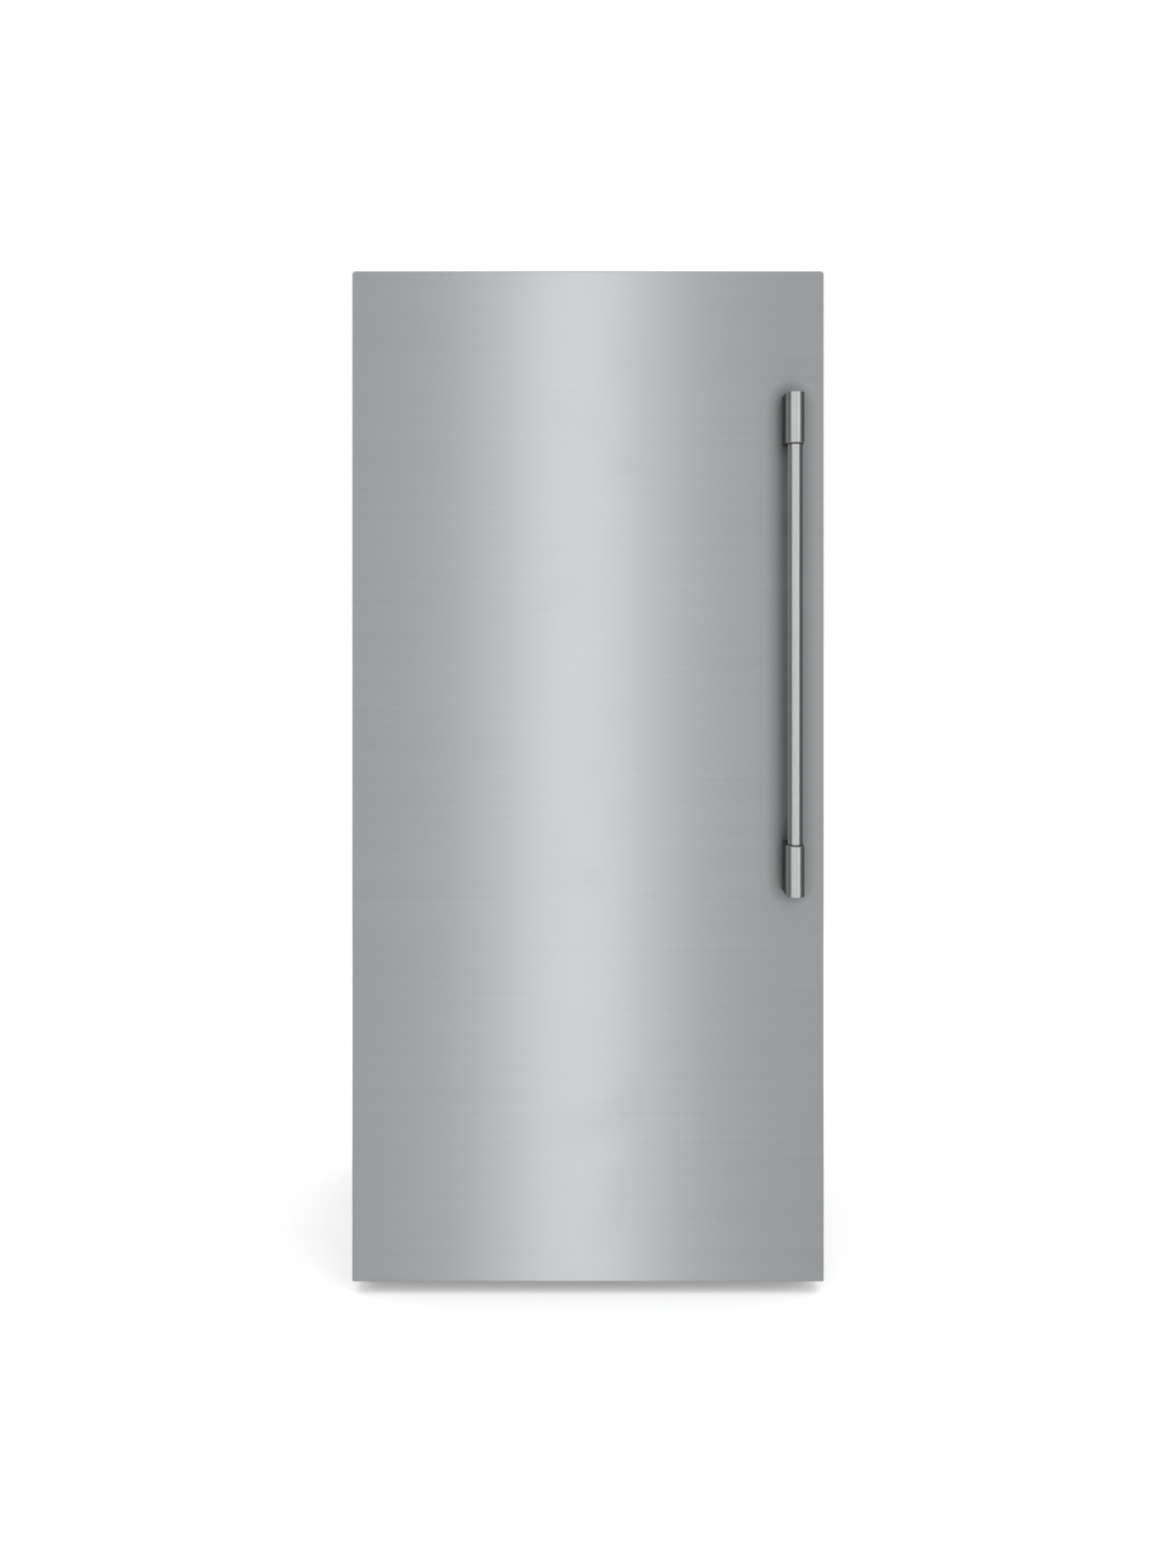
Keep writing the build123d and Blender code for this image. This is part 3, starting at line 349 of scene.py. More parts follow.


# painted shade around the handle: inner and outer are the reach of the dark halo painted on the door, door
# and post are how dark the painted shade makes the door and the stand-off; edge is the grazing tint of the
# handle's steel
gripSettings = {"inner": 0.014, "outer": 0.044, "door": 0.56, "post": 0.22, "edge": 0.4}
gripLow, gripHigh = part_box("handle_end_lower")[0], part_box("handle_end_upper")[1]


def gripPaintedShade(tree, settings):  # painted shade: 1 behind the grip, fading to 0 on the door around it, where the door's steel is painted darker like the handle's soft shadow
    place = addNode(tree, "ShaderNodeTexCoord").outputs["Object"]
    middle = [(low + high) / 2 for low, high in zip(gripLow, gripHigh)]
    halfLength = (gripHigh[2] - gripLow[2]) / 2 - settings["inner"]
    away = addNode(tree, "ShaderNodeVectorMath", {0: place, 1: middle}, operation="SUBTRACT")
    away = addNode(tree, "ShaderNodeVectorMath", {0: away.outputs[0]}, operation="ABSOLUTE")
    beyond = addNode(
        tree, "ShaderNodeVectorMath", {0: away.outputs[0], 1: (0, 1, halfLength)}, operation="SUBTRACT"
    )
    beyond = addNode(tree, "ShaderNodeVectorMath", {0: beyond.outputs[0], 1: (0, 0, 0)}, operation="MAXIMUM")
    distance = addNode(tree, "ShaderNodeVectorMath", {0: beyond.outputs[0]}, operation="LENGTH")
    near = addNode(
        tree,
        "ShaderNodeMapRange",
        {
            "Value": distance.outputs["Value"],
            "From Min": settings["inner"],
            "From Max": settings["outer"],
            "To Min": 1.0,
            "To Max": 0.0,
        },
    )
    return near.outputs[0]


def standoffPaintedShade(tree):  # painted shade: 0 on the round front of a post, 1 on the flat stand-off behind it, which is painted dark as if in shade
    place = addNode(tree, "ShaderNodeTexCoord").outputs["Object"]
    depth = addNode(tree, "ShaderNodeSeparateXYZ", {0: place}).outputs["Y"]
    radius = (gripHigh[0] - gripLow[0]) / 2
    behind = addNode(
        tree,
        "ShaderNodeMapRange",
        {"Value": depth, "From Min": gripLow[1] + 0.75 * radius, "From Max": gripLow[1] + 1.15 * radius},
        interpolation_type="SMOOTHSTEP",
    )
    return behind.outputs[0]


def steelMaterial(name):
    dark, light, smooth, rough, spread, anisotropy, bump = steelFinishes[name]
    edge = 1.0 if anisotropy else gripSettings["edge"]
    material, tree, shader = newMaterial(
        name, Metallic=1.0, Anisotropic=anisotropy, Specular_Tint=(edge, edge, edge, 1.0)
    )
    streaks = useGroup(tree, "grain", Spread=spread)
    smudges = useGroup(tree, "patches", Scale=5.0, Start=0.5, End=0.8)
    brushed = blendColours(tree, streaks, dark, light)
    if name == "doorSteel":
        # painted shade: the door's steel is painted darker around the grip, in place of the handle's soft
        # shadow on it
        paintedShadeTones = [tuple(channel * gripSettings["door"] for channel in tone) for tone in (dark, light)]
        shaded = blendColours(tree, streaks, *paintedShadeTones)
        brushed = blendColours(tree, gripPaintedShade(tree, gripSettings), brushed, shaded)
    else:
        if name == "postSteelWithPaintedShade":
            # painted shade: the flat stand-off behind each post is painted dark
            shaded = tuple(channel * gripSettings["post"] for channel in dark)
            brushed = blendColours(tree, standoffPaintedShade(tree), brushed, shaded)
        wear = useGroup(tree, "wear", Radius=0.001, Strength=2.5)
        brushed = blendColours(tree, wear, brushed, (0.80, 0.81, 0.82))
    tree.links.new(brushed, shader.inputs["Base Color"])
    uneven = addNode(
        tree,
        "ShaderNodeMath",
        {0: between(tree, streaks, smooth, rough), 1: between(tree, smudges, 0.0, 0.03)},
        operation="ADD",
    )
    tree.links.new(uneven.outputs[0], shader.inputs["Roughness"])
    if anisotropy:
        along = addNode(tree, "ShaderNodeTangent", direction_type="RADIAL", axis="X")
        tree.links.new(along.outputs[0], shader.inputs["Tangent"])
    bumped(tree, shader, streaks, bump, 0.0005)
    return material


paintFinishes = {
    # name: (paint, bare metal, roughness, grain scale, bump)
    "cabinetPaint": ((0.115, 0.118, 0.122), (0.42, 0.43, 0.44), 0.42, 700.0, 0.22),
    "trackPaint": ((0.74, 0.75, 0.76), (0.55, 0.55, 0.56), 0.35, 900.0, 0.08),
    "compressorPaint": ((0.012, 0.012, 0.013), (0.25, 0.25, 0.26), 0.24, 260.0, 0.10),
}


def paintMaterial(name):
    paint, bare, roughness, scale, bump = paintFinishes[name]
    material, tree, shader = newMaterial(name, Coat_Weight=0.15)
    patches = useGroup(tree, "patches", Scale=6.0)
    dust = useGroup(tree, "dust", Amount=0.12, Scale=45.0)
    wear = useGroup(tree, "wear", Radius=0.0012, Strength=2.0)
    lighter = tuple(min(1.0, channel * 1.12 + 0.004) for channel in paint)
    colour = blendColours(tree, patches, paint, lighter)
    colour = blendColours(tree, wear, colour, bare)
    colour = blendColours(tree, dust, colour, (0.45, 0.44, 0.42))
    tree.links.new(colour, shader.inputs["Base Color"])
    tree.links.new(between(tree, patches, roughness, roughness + 0.09), shader.inputs["Roughness"])
    bumped(tree, shader, useGroup(tree, "moulded", Scale=scale), bump, 0.0006)
    return material


def galvanisedMaterial():
    material, tree, shader = newMaterial("galvanisedSheet", Metallic=0.9)
    place = addNode(tree, "ShaderNodeTexCoord").outputs["Object"]
    warp = addNode(tree, "ShaderNodeTexNoise", {"Vector": place, "Scale": 25.0, "Detail": 2.0})
    bent = addNode(
        tree,
        "ShaderNodeVectorMath",
        {0: warp.outputs["Color"], 1: (0.02, 0.02, 0.02), 2: place},
        operation="MULTIPLY_ADD",
    )
    spangle = addNode(tree, "ShaderNodeTexVoronoi", {"Vector": bent.outputs[0], "Scale": 110.0})
    shade = addNode(tree, "ShaderNodeSeparateColor", {0: spangle.outputs["Color"]}).outputs[0]
    zinc = blendColours(tree, shade, (0.50, 0.52, 0.54), (0.60, 0.62, 0.64))
    stain = useGroup(tree, "patches", Scale=9.0, Start=0.55, End=0.85)
    zinc = blendColours(tree, between(tree, stain, 0.0, 0.35), zinc, (0.60, 0.60, 0.58))
    dust = useGroup(tree, "dust", Amount=0.6, Scale=60.0)
    tree.links.new(blendColours(tree, dust, zinc, (0.40, 0.38, 0.35)), shader.inputs["Base Color"])
    tree.links.new(between(tree, shade, 0.32, 0.52), shader.inputs["Roughness"])
    bumped(tree, shader, shade, 0.05, 0.0006)
    return material


def zincMaterial():
    material, tree, shader = newMaterial("zincPlate", Metallic=1.0)
    patches = useGroup(tree, "patches", Scale=22.0)
    wear = useGroup(tree, "wear", Radius=0.0008, Strength=2.0)
    colour = blendColours(tree, patches, (0.52, 0.52, 0.49), (0.66, 0.66, 0.64))
    tree.links.new(blendColours(tree, wear, colour, (0.78, 0.78, 0.77)), shader.inputs["Base Color"])
    tree.links.new(between(tree, patches, 0.28, 0.42), shader.inputs["Roughness"])
    bumped(tree, shader, useGroup(tree, "moulded", Scale=1200.0), 0.04, 0.0004)
    return material


plasticFinishes = {
    # name: (main, patch, roughness, grain scale, bump, dust, subsurface)
    "linerPlastic": ((0.80, 0.815, 0.825), (0.785, 0.80, 0.81), 0.33, 500.0, 0.04, 0.0, 0.05),
    "panelPlastic": ((0.78, 0.79, 0.80), (0.74, 0.75, 0.76), 0.3, 1400.0, 0.08, 0.03, 0.03),
    "shelfTrimPlastic": ((0.66, 0.68, 0.69), (0.62, 0.64, 0.65), 0.3, 1400.0, 0.06, 0.03, 0.02),
    "greyPlastic": ((0.105, 0.109, 0.115), (0.12, 0.124, 0.13), 0.5, 1300.0, 0.22, 0.1, 0.0),
    "blackPlastic": ((0.018, 0.018, 0.02), (0.026, 0.026, 0.028), 0.48, 1300.0, 0.22, 0.35, 0.0),
    "fanPlastic": ((0.05, 0.05, 0.054), (0.065, 0.065, 0.07), 0.42, 1200.0, 0.12, 0.3, 0.0),
    "rollerPlastic": ((0.04, 0.04, 0.042), (0.06, 0.06, 0.062), 0.46, 900.0, 0.15, 0.4, 0.0),
    "buttonPlastic": ((0.36, 0.38, 0.40), (0.40, 0.42, 0.44), 0.32, 1500.0, 0.08, 0.02, 0.0),
    "sealRubber": ((0.34, 0.35, 0.365), (0.30, 0.31, 0.325), 0.55, 800.0, 0.12, 0.05, 0.0),
    "mountRubber": ((0.02, 0.02, 0.02), (0.035, 0.034, 0.033), 0.7, 600.0, 0.25, 0.3, 0.0),
    # near-black finish, also used as painted shade in the groove where the grip enters its posts
    "nearBlackAndGrooveShade": ((0.012, 0.012, 0.013), (0.02, 0.02, 0.02), 0.6, 900.0, 0.1, 0.0, 0.0),
}


def plasticMaterial(name):
    main, patch, roughness, scale, bump, dustAmount, subsurface = plasticFinishes[name]
    material, tree, shader = newMaterial(name, Subsurface_Weight=subsurface, Subsurface_Scale=0.004)
    patches = useGroup(tree, "patches", Scale=7.0, Start=0.3, End=0.8)
    dust = useGroup(tree, "dust", Amount=dustAmount, Scale=70.0)
    wear = useGroup(tree, "wear", Radius=0.0008, Strength=1.2)
    paler = tuple(channel * 0.8 + 0.12 for channel in main)
    colour = blendColours(tree, patches, main, patch)
    colour = blendColours(tree, wear, colour, paler)
    tree.links.new(blendColours(tree, dust, colour, (0.46, 0.45, 0.43)), shader.inputs["Base Color"])
    tree.links.new(between(tree, patches, roughness, roughness + 0.03), shader.inputs["Roughness"])
    bumped(tree, shader, useGroup(tree, "moulded", Scale=scale), bump, 0.0004)
    return material


clearFinishes = {
    # name: (colour, roughness, highest roughness, index, transmission, cover on faces, cover on edges)
    "clearPlastic": ((0.80, 0.86, 0.88), 0.07, 0.14, 1.49, 0.0, 0.24, 0.75),
    "shelfGlass": ((0.88, 0.97, 0.94), 0.01, 0.05, 1.52, 1.0, 1.0, 1.0),
}


def clearMaterial(name):
    tint, smooth, rough, index, transmission, face, edge = clearFinishes[name]
    material, tree, shader = newMaterial(name, Transmission_Weight=transmission, IOR=index)
    haze = useGroup(tree, "patches", Scale=12.0, Start=0.4, End=0.8)
    wear = useGroup(tree, "wear", Radius=0.0018, Strength=3.5)
    colour = blendColours(tree, haze, tint, tuple(channel * 0.97 for channel in tint))
    tree.links.new(blendColours(tree, wear, colour, (0.97, 0.98, 0.98)), shader.inputs["Base Color"])
    tree.links.new(between(tree, haze, smooth, rough), shader.inputs["Roughness"])
    if face < 1:
        tree.links.new(between(tree, wear, face, edge), shader.inputs["Alpha"])
    bumped(tree, shader, useGroup(tree, "moulded", Scale=120.0, Roundness=0.0), 0.02, 0.0006)
    return material


def foamMaterial():
    material, tree, shader = newMaterial("cutFoam", Roughness=0.9)
    cells = useGroup(tree, "moulded", Scale=450.0, Roundness=0.8)
    patches = useGroup(tree, "patches", Scale=8.0)
    colour = blendColours(tree, patches, (0.70, 0.60, 0.36), (0.78, 0.70, 0.48))
    tree.links.new(blendColours(tree, cells, colour, (0.55, 0.45, 0.25)), shader.inputs["Base Color"])
    bumped(tree, shader, cells, 0.5, 0.001)
    return material


def copperMaterial():
    material, tree, shader = newMaterial("drawnCopper", Metallic=1.0)
    tarnish = useGroup(tree, "patches", Scale=35.0)
    bright = blendColours(tree, tarnish, (0.80, 0.42, 0.26), (0.48, 0.25, 0.17))
    tree.links.new(bright, shader.inputs["Base Color"])
    tree.links.new(between(tree, tarnish, 0.22, 0.45), shader.inputs["Roughness"])
    bumped(tree, shader, tarnish, 0.04, 0.0004)
    return material


def finMaterial():
    material, tree, shader = newMaterial("millAluminium", Metallic=1.0)
    streaks = useGroup(tree, "grain", Spread=(400, 400, 30))
    dust = useGroup(tree, "patches", Scale=30.0, Start=0.5, End=0.9)
    colour = blendColours(tree, streaks, (0.62, 0.63, 0.64), (0.76, 0.77, 0.78))
    tree.links.new(blendColours(tree, dust, colour, (0.42, 0.40, 0.37)), shader.inputs["Base Color"])
    tree.links.new(between(tree, streaks, 0.3, 0.45), shader.inputs["Roughness"])
    bumped(tree, shader, streaks, 0.05, 0.0004)
    return material


def glowMaterial(name, colour, strength, base):
    material, tree, shader = newMaterial(name, Emission_Strength=strength, Roughness=0.35)
    shade = useGroup(tree, "patches", Scale=14.0)
    surface = blendColours(tree, shade, base, tuple(channel * 0.95 for channel in base))
    tree.links.new(surface, shader.inputs["Base Color"])
    glow = blendColours(tree, shade, colour, tuple(channel * 0.94 for channel in colour))
    tree.links.new(glow, shader.inputs["Emission Color"])
    return material


floorSettings = {"size": 30.0, "near": 1.3, "far": 3.6, "glow": 0.22, "drop": 0.5 * mm}


def floorMaterial():  # fades to plain white away from the object
    material, tree, shader = newMaterial("studioFloor", Roughness=0.75, Emission_Strength=1.0)
    shade = useGroup(tree, "patches", Scale=0.7)
    place = addNode(tree, "ShaderNodeTexCoord").outputs["Object"]
    distance = addNode(tree, "ShaderNodeVectorMath", {0: place}, operation="LENGTH").outputs["Value"]
    far = addNode(
        tree,
        "ShaderNodeMapRange",
        {"Value": distance, "From Min": floorSettings["near"], "From Max": floorSettings["far"]},
        interpolation_type="SMOOTHSTEP",
    ).outputs[0]
    pale = blendColours(tree, shade, (0.86, 0.86, 0.86), (0.84, 0.84, 0.84))
    tree.links.new(blendColours(tree, far, pale, (0.0, 0.0, 0.0)), shader.inputs["Base Color"])
    glow = blendColours(tree, far, (floorSettings["glow"],) * 3, (1.0, 1.0, 1.0))
    tree.links.new(glow, shader.inputs["Emission Color"])
    return material


materials = {name: steelMaterial(name) for name in steelFinishes}
materials.update({name: paintMaterial(name) for name in paintFinishes})
materials.update({name: plasticMaterial(name) for name in plasticFinishes})
materials.update({name: clearMaterial(name) for name in clearFinishes})
materials["galvanised"] = galvanisedMaterial()
materials["zinc"] = zincMaterial()
materials["foam"] = foamMaterial()
materials["copper"] = copperMaterial()
materials["fins"] = finMaterial()
materials["diffuser"] = glowMaterial("frostedDiffuser", (1.0, 0.97, 0.92), 2.2, (0.9, 0.9, 0.88))
materials["display"] = glowMaterial("displayBars", (0.35, 0.75, 1.0), 2.5, (0.1, 0.2, 0.3))

slotMaterials = {
    "stainless_door": "doorSteel",
    "handle_steel": "handleSteel",
    "cabinet_paint": "cabinetPaint",
    "galvanised": "galvanised",
    "zinc_steel": "zinc",
    "insulation": "foam",
    "white_liner": "linerPlastic",
    "grey_plastic": "greyPlastic",
    "black_plastic": "blackPlastic",
    "clear_plastic": "clearPlastic",
    "shelf_glass": "shelfGlass",
    "shelf_trim": "shelfTrimPlastic",
    "seal_rubber": "sealRubber",
    "track_paint": "trackPaint",
    "compressor_paint": "compressorPaint",
    "mount_rubber": "mountRubber",
    "coil_fins": "fins",
    "line_copper": "copper",
    "fan_plastic": "fanPlastic",
    "panel_plastic": "panelPlastic",
    "diffuser_plastic": "diffuser",
    "button_plastic": "buttonPlastic",
    "roller_plastic": "rollerPlastic",
}
nodeMaterials = {"handle_end_lower": "postSteelWithPaintedShade", "handle_end_upper": "postSteelWithPaintedShade"}
for part in frame["record"]["subparts"]:
    material = materials[nodeMaterials.get(part["node"], slotMaterials[part["material_slot"]])]
    mesh = nodes[part["node"]].data
    mesh.materials.clear()
    mesh.materials.append(material)
print("materials assigned:", len(materials))


def meshFrom(shape, name):
    mesh = bpy.data.meshes.new(name)
    bmesh.ops.remove_doubles(shape, verts=shape.verts, dist=0.001 * mm)
    bmesh.ops.recalc_face_normals(shape, faces=shape.faces)
    shape.to_mesh(mesh)
    shape.free()
    return mesh


def finished(name, shape, material, body, smoothAngle=35):
    mesh = meshFrom(shape, name)
    mesh.materials.append(materials[material])
    return placed(name, mesh, body, smoothAngle)


def placed(name, mesh, body, smoothAngle=35):
    for face in mesh.polygons:
        face.use_smooth = True
    mesh.set_sharp_from_angle(angle=radians(smoothAngle))
    piece = bpy.data.objects.new(name, mesh)
    scene.collection.objects.link(piece)
    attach(piece, body)
    return piece


def roundedBlock(shape, low, high, radius, segments=3):
    corners = [
        shape.verts.new((x, y, z))
        for x in (low[0], high[0])
        for y in (low[1], high[1])
        for z in (low[2], high[2])
    ]
    faces = [(0, 1, 3, 2), (4, 6, 7, 5), (0, 4, 5, 1), (2, 3, 7, 6), (0, 2, 6, 4), (1, 5, 7, 3)]
    made = [shape.faces.new([corners[i] for i in face]) for face in faces]
    edges = list({edge for face in made for edge in face.edges})
    bmesh.ops.bevel(shape, geom=edges, offset=radius, segments=segments, profile=0.5, affect="EDGES")
    return shape


def turned(shape, profile, centre, axis, steps=64, closed=True):
    # profile: (distance from the axis, height along it); axis: 0, 1 or 2
    across = [(1, 2), (2, 0), (0, 1)][axis]
    rings = []
    for radius, height in profile:
        ring = []
        for step in range(steps):
            angle = 2 * pi * step / steps
            point = [0.0, 0.0, 0.0]
            point[axis] = centre[axis] + height
            point[across[0]] = centre[across[0]] + radius * cos(angle)
            point[across[1]] = centre[across[1]] + radius * sin(angle)
            ring.append(shape.verts.new(point))
        rings.append(ring)
    pairs = list(zip(rings, rings[1:]))
    if closed:
        pairs.append((rings[-1], rings[0]))
    for first, second in pairs:
        for step in range(steps):
            after = (step + 1) % steps
            shape.faces.new((first[step], first[after], second[after], second[step]))
    if not closed:
        shape.faces.new(rings[0])
        shape.faces.new(rings[-1])
    return shape


def mitredFrame(shape, profile, halfWidth, low, high):
    # profile: closed outline of (inset from the outer edge, y)
    rings = []
    for sideX, sideZ in ((-1, 0), (1, 0), (1, 1), (-1, 1)):
        ring = []
        for inset, y in profile:
            z = high - inset if sideZ else low + inset
            ring.append(shape.verts.new((sideX * (halfWidth - inset), y, z)))
        rings.append(ring)
    count = len(profile)
    for first, second in zip(rings, rings[1:] + rings[:1]):
        for step in range(count):
            after = (step + 1) % count
            shape.faces.new((first[step], first[after], second[after], second[step]))
    return shape


def newRepeatTree():
    tree = bpy.data.node_groups.new("repeatInRows", "GeometryNodeTree")
    tree.interface.new_socket(name="Geometry", in_out="OUTPUT", socket_type="NodeSocketGeometry")
    for label, kind in (
        ("Shape", "NodeSocketObject"),
        ("Finish", "NodeSocketMaterial"),
        ("Columns", "NodeSocketInt"),
        ("Rows", "NodeSocketInt"),
        ("Start", "NodeSocketVector"),
        ("Column Step", "NodeSocketVector"),
        ("Row Step", "NodeSocketVector"),
    ):
        tree.interface.new_socket(name=label, in_out="INPUT", socket_type=kind)
    given = tree.nodes.new("NodeGroupInput").outputs
    result = tree.nodes.new("NodeGroupOutput").inputs
    column = addNode(
        tree,
        "GeometryNodeMeshLine",
        {"Count": given["Columns"], "Start Location": given["Start"], "Offset": given["Column Step"]},
    )
    row = addNode(tree, "GeometryNodeMeshLine", {"Count": given["Rows"], "Offset": given["Row Step"]})
    grid = addNode(
        tree, "GeometryNodeInstanceOnPoints", {"Points": column.outputs[0], "Instance": row.outputs[0]}
    )
    points = addNode(tree, "GeometryNodeRealizeInstances", {0: grid.outputs[0]})
    source = addNode(tree, "GeometryNodeObjectInfo", {"Object": given["Shape"]})
    copies = addNode(
        tree,
        "GeometryNodeInstanceOnPoints",
        {"Points": points.outputs[0], "Instance": source.outputs["Geometry"]},
    )
    real = addNode(tree, "GeometryNodeRealizeInstances", {0: copies.outputs[0]})
    done = addNode(
        tree, "GeometryNodeSetMaterial", {"Geometry": real.outputs[0], "Material": given["Finish"]}
    )
    tree.links.new(done.outputs[0], result["Geometry"])
    return tree


repeatTree = newRepeatTree()


def inRows(start, columns, columnStep, rows=1, rowStep=(0, 0, 0)):
    return {"Start": start, "Columns": columns, "Column Step": columnStep, "Rows": rows, "Row Step": rowStep}


def repeated(name, shape, material, body, layout):
    source = bpy.data.objects.new(name + "Shape", meshFrom(shape, name + "Shape"))
    host = bpy.data.objects.new(name + "Host", bpy.data.meshes.new(name + "Host"))
    scene.collection.objects.link(source)
    scene.collection.objects.link(host)
    values = {"Shape": source, "Finish": materials[material], **layout}
    modifier = host.modifiers.new("rows", "NODES")
    modifier.node_group = repeatTree
    for item in repeatTree.interface.items_tree:
        if item.in_out == "INPUT":
            modifier[item.identifier] = values[item.name]
    bpy.context.view_layer.update()
    evaluated = host.evaluated_get(bpy.context.evaluated_depsgraph_get())
    result = bpy.data.meshes.new_from_object(evaluated)
    result.name = name
    host.modifiers.clear()
    bpy.data.objects.remove(host)
    bpy.data.objects.remove(source)
    return placed(name, result, body)


grooveShadeRingSettings = {
    "inner": 12.6 * mm,
    "outer": 13.6 * mm,
    "buried": 2 * mm,
    "lip": 0.2 * mm,
    "proud": 2.2 * mm,
    "taper": 0.4 * mm,
}


def handleGrooveShadeRings(settings):  # painted shade: near-black rings where the grip enters its posts, standing in for the shaded groove there
    barLow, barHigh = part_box("handle_bar")
    centre = ((barLow[0] + barHigh[0]) / 2, (barLow[1] + barHigh[1]) / 2, 0.0)
    ends = {
        "lower": (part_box("handle_end_lower")[1][2], 1),
        "upper": (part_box("handle_end_upper")[0][2], -1),
    }
    for name, (height, way) in ends.items():
        shape = bmesh.new()
        inside = height - way * settings["buried"]
        proud = height + way * settings["proud"]
        profile = [
            (settings["inner"], inside),
            (settings["outer"], inside),
            (settings["outer"], height + way * settings["lip"]),
            (settings["outer"] - settings["taper"], proud),
            (settings["inner"], proud),
        ]
        turned(shape, profile, centre, 2, steps=72)
        finished("handleSeal_" + name, shape, "nearBlackAndGrooveShade", "door")


handleGrooveShadeRings(grooveShadeRingSettings)


setScrewSettings = {
    "socket": 1.2 * mm,
    "radius": 2.3 * mm,
    "face": 2 * mm,  # above the post's underside, as is the end
    "end": 5 * mm,
    "fromDoor": 12 * mm,
}


def setScrews(settings):  # hexagon-socket screws in the underside of each post
    socket, radius = settings["socket"], settings["radius"]
    face, end = settings["face"], settings["end"]
    profile = [(socket, end), (socket, face), (radius, face), (radius, end)]
    for name in ("handle_end_lower", "handle_end_upper"):
        low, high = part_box(name)
        centre = ((low[0] + high[0]) / 2, doorFace - settings["fromDoor"], low[2])
        shape = turned(bmesh.new(), profile, centre, 2, steps=6)
        finished("setScrew_" + name.split("_")[-1], shape, "nearBlackAndGrooveShade", "door")


setScrews(setScrewSettings)
print("handle done")


sealSettings = {"headDepth": 11.4 * mm, "pleats": 3}


def doorSeal(settings):  # root, pleated bellows and magnet head, mitred at the corners
    low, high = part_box("door_gasket")
    back = low[1]
    front = back + settings["headDepth"]
    outline = [(6 * mm, back + 0.1 * mm), (18 * mm, back + 0.1 * mm), (18 * mm, back + 2 * mm)]
    for pleat in range(settings["pleats"]):  # inner side, towards the head
        start = back + (2 + pleat * 1.3) * mm
        outline += [(20.5 * mm, start + 0.65 * mm), (17.5 * mm, start + 1.3 * mm)]
    outline += [(23 * mm, back + 6.6 * mm), (23.6 * mm, back + 8 * mm), (23 * mm, front - 0.4 * mm)]
    outline += [(21.5 * mm, front), (13.2 * mm, front), (12 * mm, front - 0.7 * mm), (10.8 * mm, front)]
    outline += [(2.4 * mm, front), (0.8 * mm, front - 0.5 * mm)]
    outline += [(0.4 * mm, back + 8 * mm), (1.5 * mm, back + 6.6 * mm)]
    for pleat in reversed(range(settings["pleats"])):  # outer side, back to the root
        start = back + (2 + pleat * 1.3) * mm
        outline += [(6.5 * mm, start + 1.3 * mm), (3.5 * mm, start + 0.65 * mm)]
    outline += [(6 * mm, back + 2 * mm)]
    shape = mitredFrame(bmesh.new(), outline, high[0], low[2], high[2])
    seal = finished("doorSeal", shape, "sealRubber", "door", smoothAngle=50)
    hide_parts("door_gasket")


doorSeal(sealSettings)
print("door seal done")


trimSettings = {
    "rim": 56 * mm,  # the rim's height above the ends of its arms
    "lowEdge": 12 * mm,  # below the rim, as is the high edge
    "highEdge": 2 * mm,
    "inset": 9 * mm,
    "thick": 1.6 * mm,
    "buried": 0.2 * mm,
    "radius": 0.7 * mm,
}


def shelfTrims(settings):  # brushed strips on the shelves' front edges
    for number in range(1, 5):
        low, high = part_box(f"shelf_{number}_frame")
        top = low[2] + settings["rim"]
        shape = roundedBlock(
            bmesh.new(),
            (low[0] + settings["inset"], low[1] - settings["thick"], top - settings["lowEdge"]),
            (high[0] - settings["inset"], low[1] + settings["buried"], top - settings["highEdge"]),
            settings["radius"],
        )
        finished(f"shelfTrim_{number}", shape, "trimSteel", "cabinet")


shelfTrims(trimSettings)


binTrimSettings = {
    "lowEdge": 20 * mm,  # below the bin's top, as is the high edge
    "highEdge": 3 * mm,
    "inset": 12 * mm,
    "thick": 1.6 * mm,
    "buried": 0.2 * mm,
    "radius": 0.7 * mm,
}


def binTrims(settings):  # a raised rail along the front of each door bin
    for name in ("door_bin_lower", "door_bin_middle", "door_bin_upper"):
        low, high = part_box(name)
        shape = roundedBlock(
            bmesh.new(),
            (low[0] + settings["inset"], high[1] - settings["buried"], high[2] - settings["lowEdge"]),
            (high[0] - settings["inset"], high[1] + settings["thick"], high[2] - settings["highEdge"]),
            settings["radius"],
        )
        finished("binTrim_" + name.split("_")[-1], shape, "shelfTrimPlastic", name)


binTrims(binTrimSettings)

panRibSettings = {
    "pitch": 22 * mm,
    "width": 3 * mm,
    "height": 1.2 * mm,
    "floor": 2.4 * mm,  # height of the drawer's floor inside
    "side": 30 * mm,  # left clear at each side, as are the next two
    "front": 24 * mm,
    "back": 14 * mm,
    "radius": 0.5 * mm,
}


def panRibs(settings):  # low ridges on the drawer floors that keep food out of the wet
    for node in ("crisper_left", "crisper_right", "wide_drawer"):
        low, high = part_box(node)
        floor = low[2] + settings["floor"]
        shape = roundedBlock(
            bmesh.new(),
            (-settings["width"] / 2, low[1] + settings["front"], floor),
            (settings["width"] / 2, high[1] - settings["back"], floor + settings["height"]),
            settings["radius"],
            segments=2,
        )
        count = int((high[0] - low[0] - 2 * settings["side"]) / settings["pitch"]) + 1
        start = (low[0] + high[0]) / 2 - (count - 1) / 2 * settings["pitch"]
        layout = inRows((start, 0, 0), count, (settings["pitch"], 0, 0))
        repeated("panRibs_" + node, shape, "clearPlastic", node, layout)


panRibs(panRibSettings)
print("shelves, bins and drawers done")


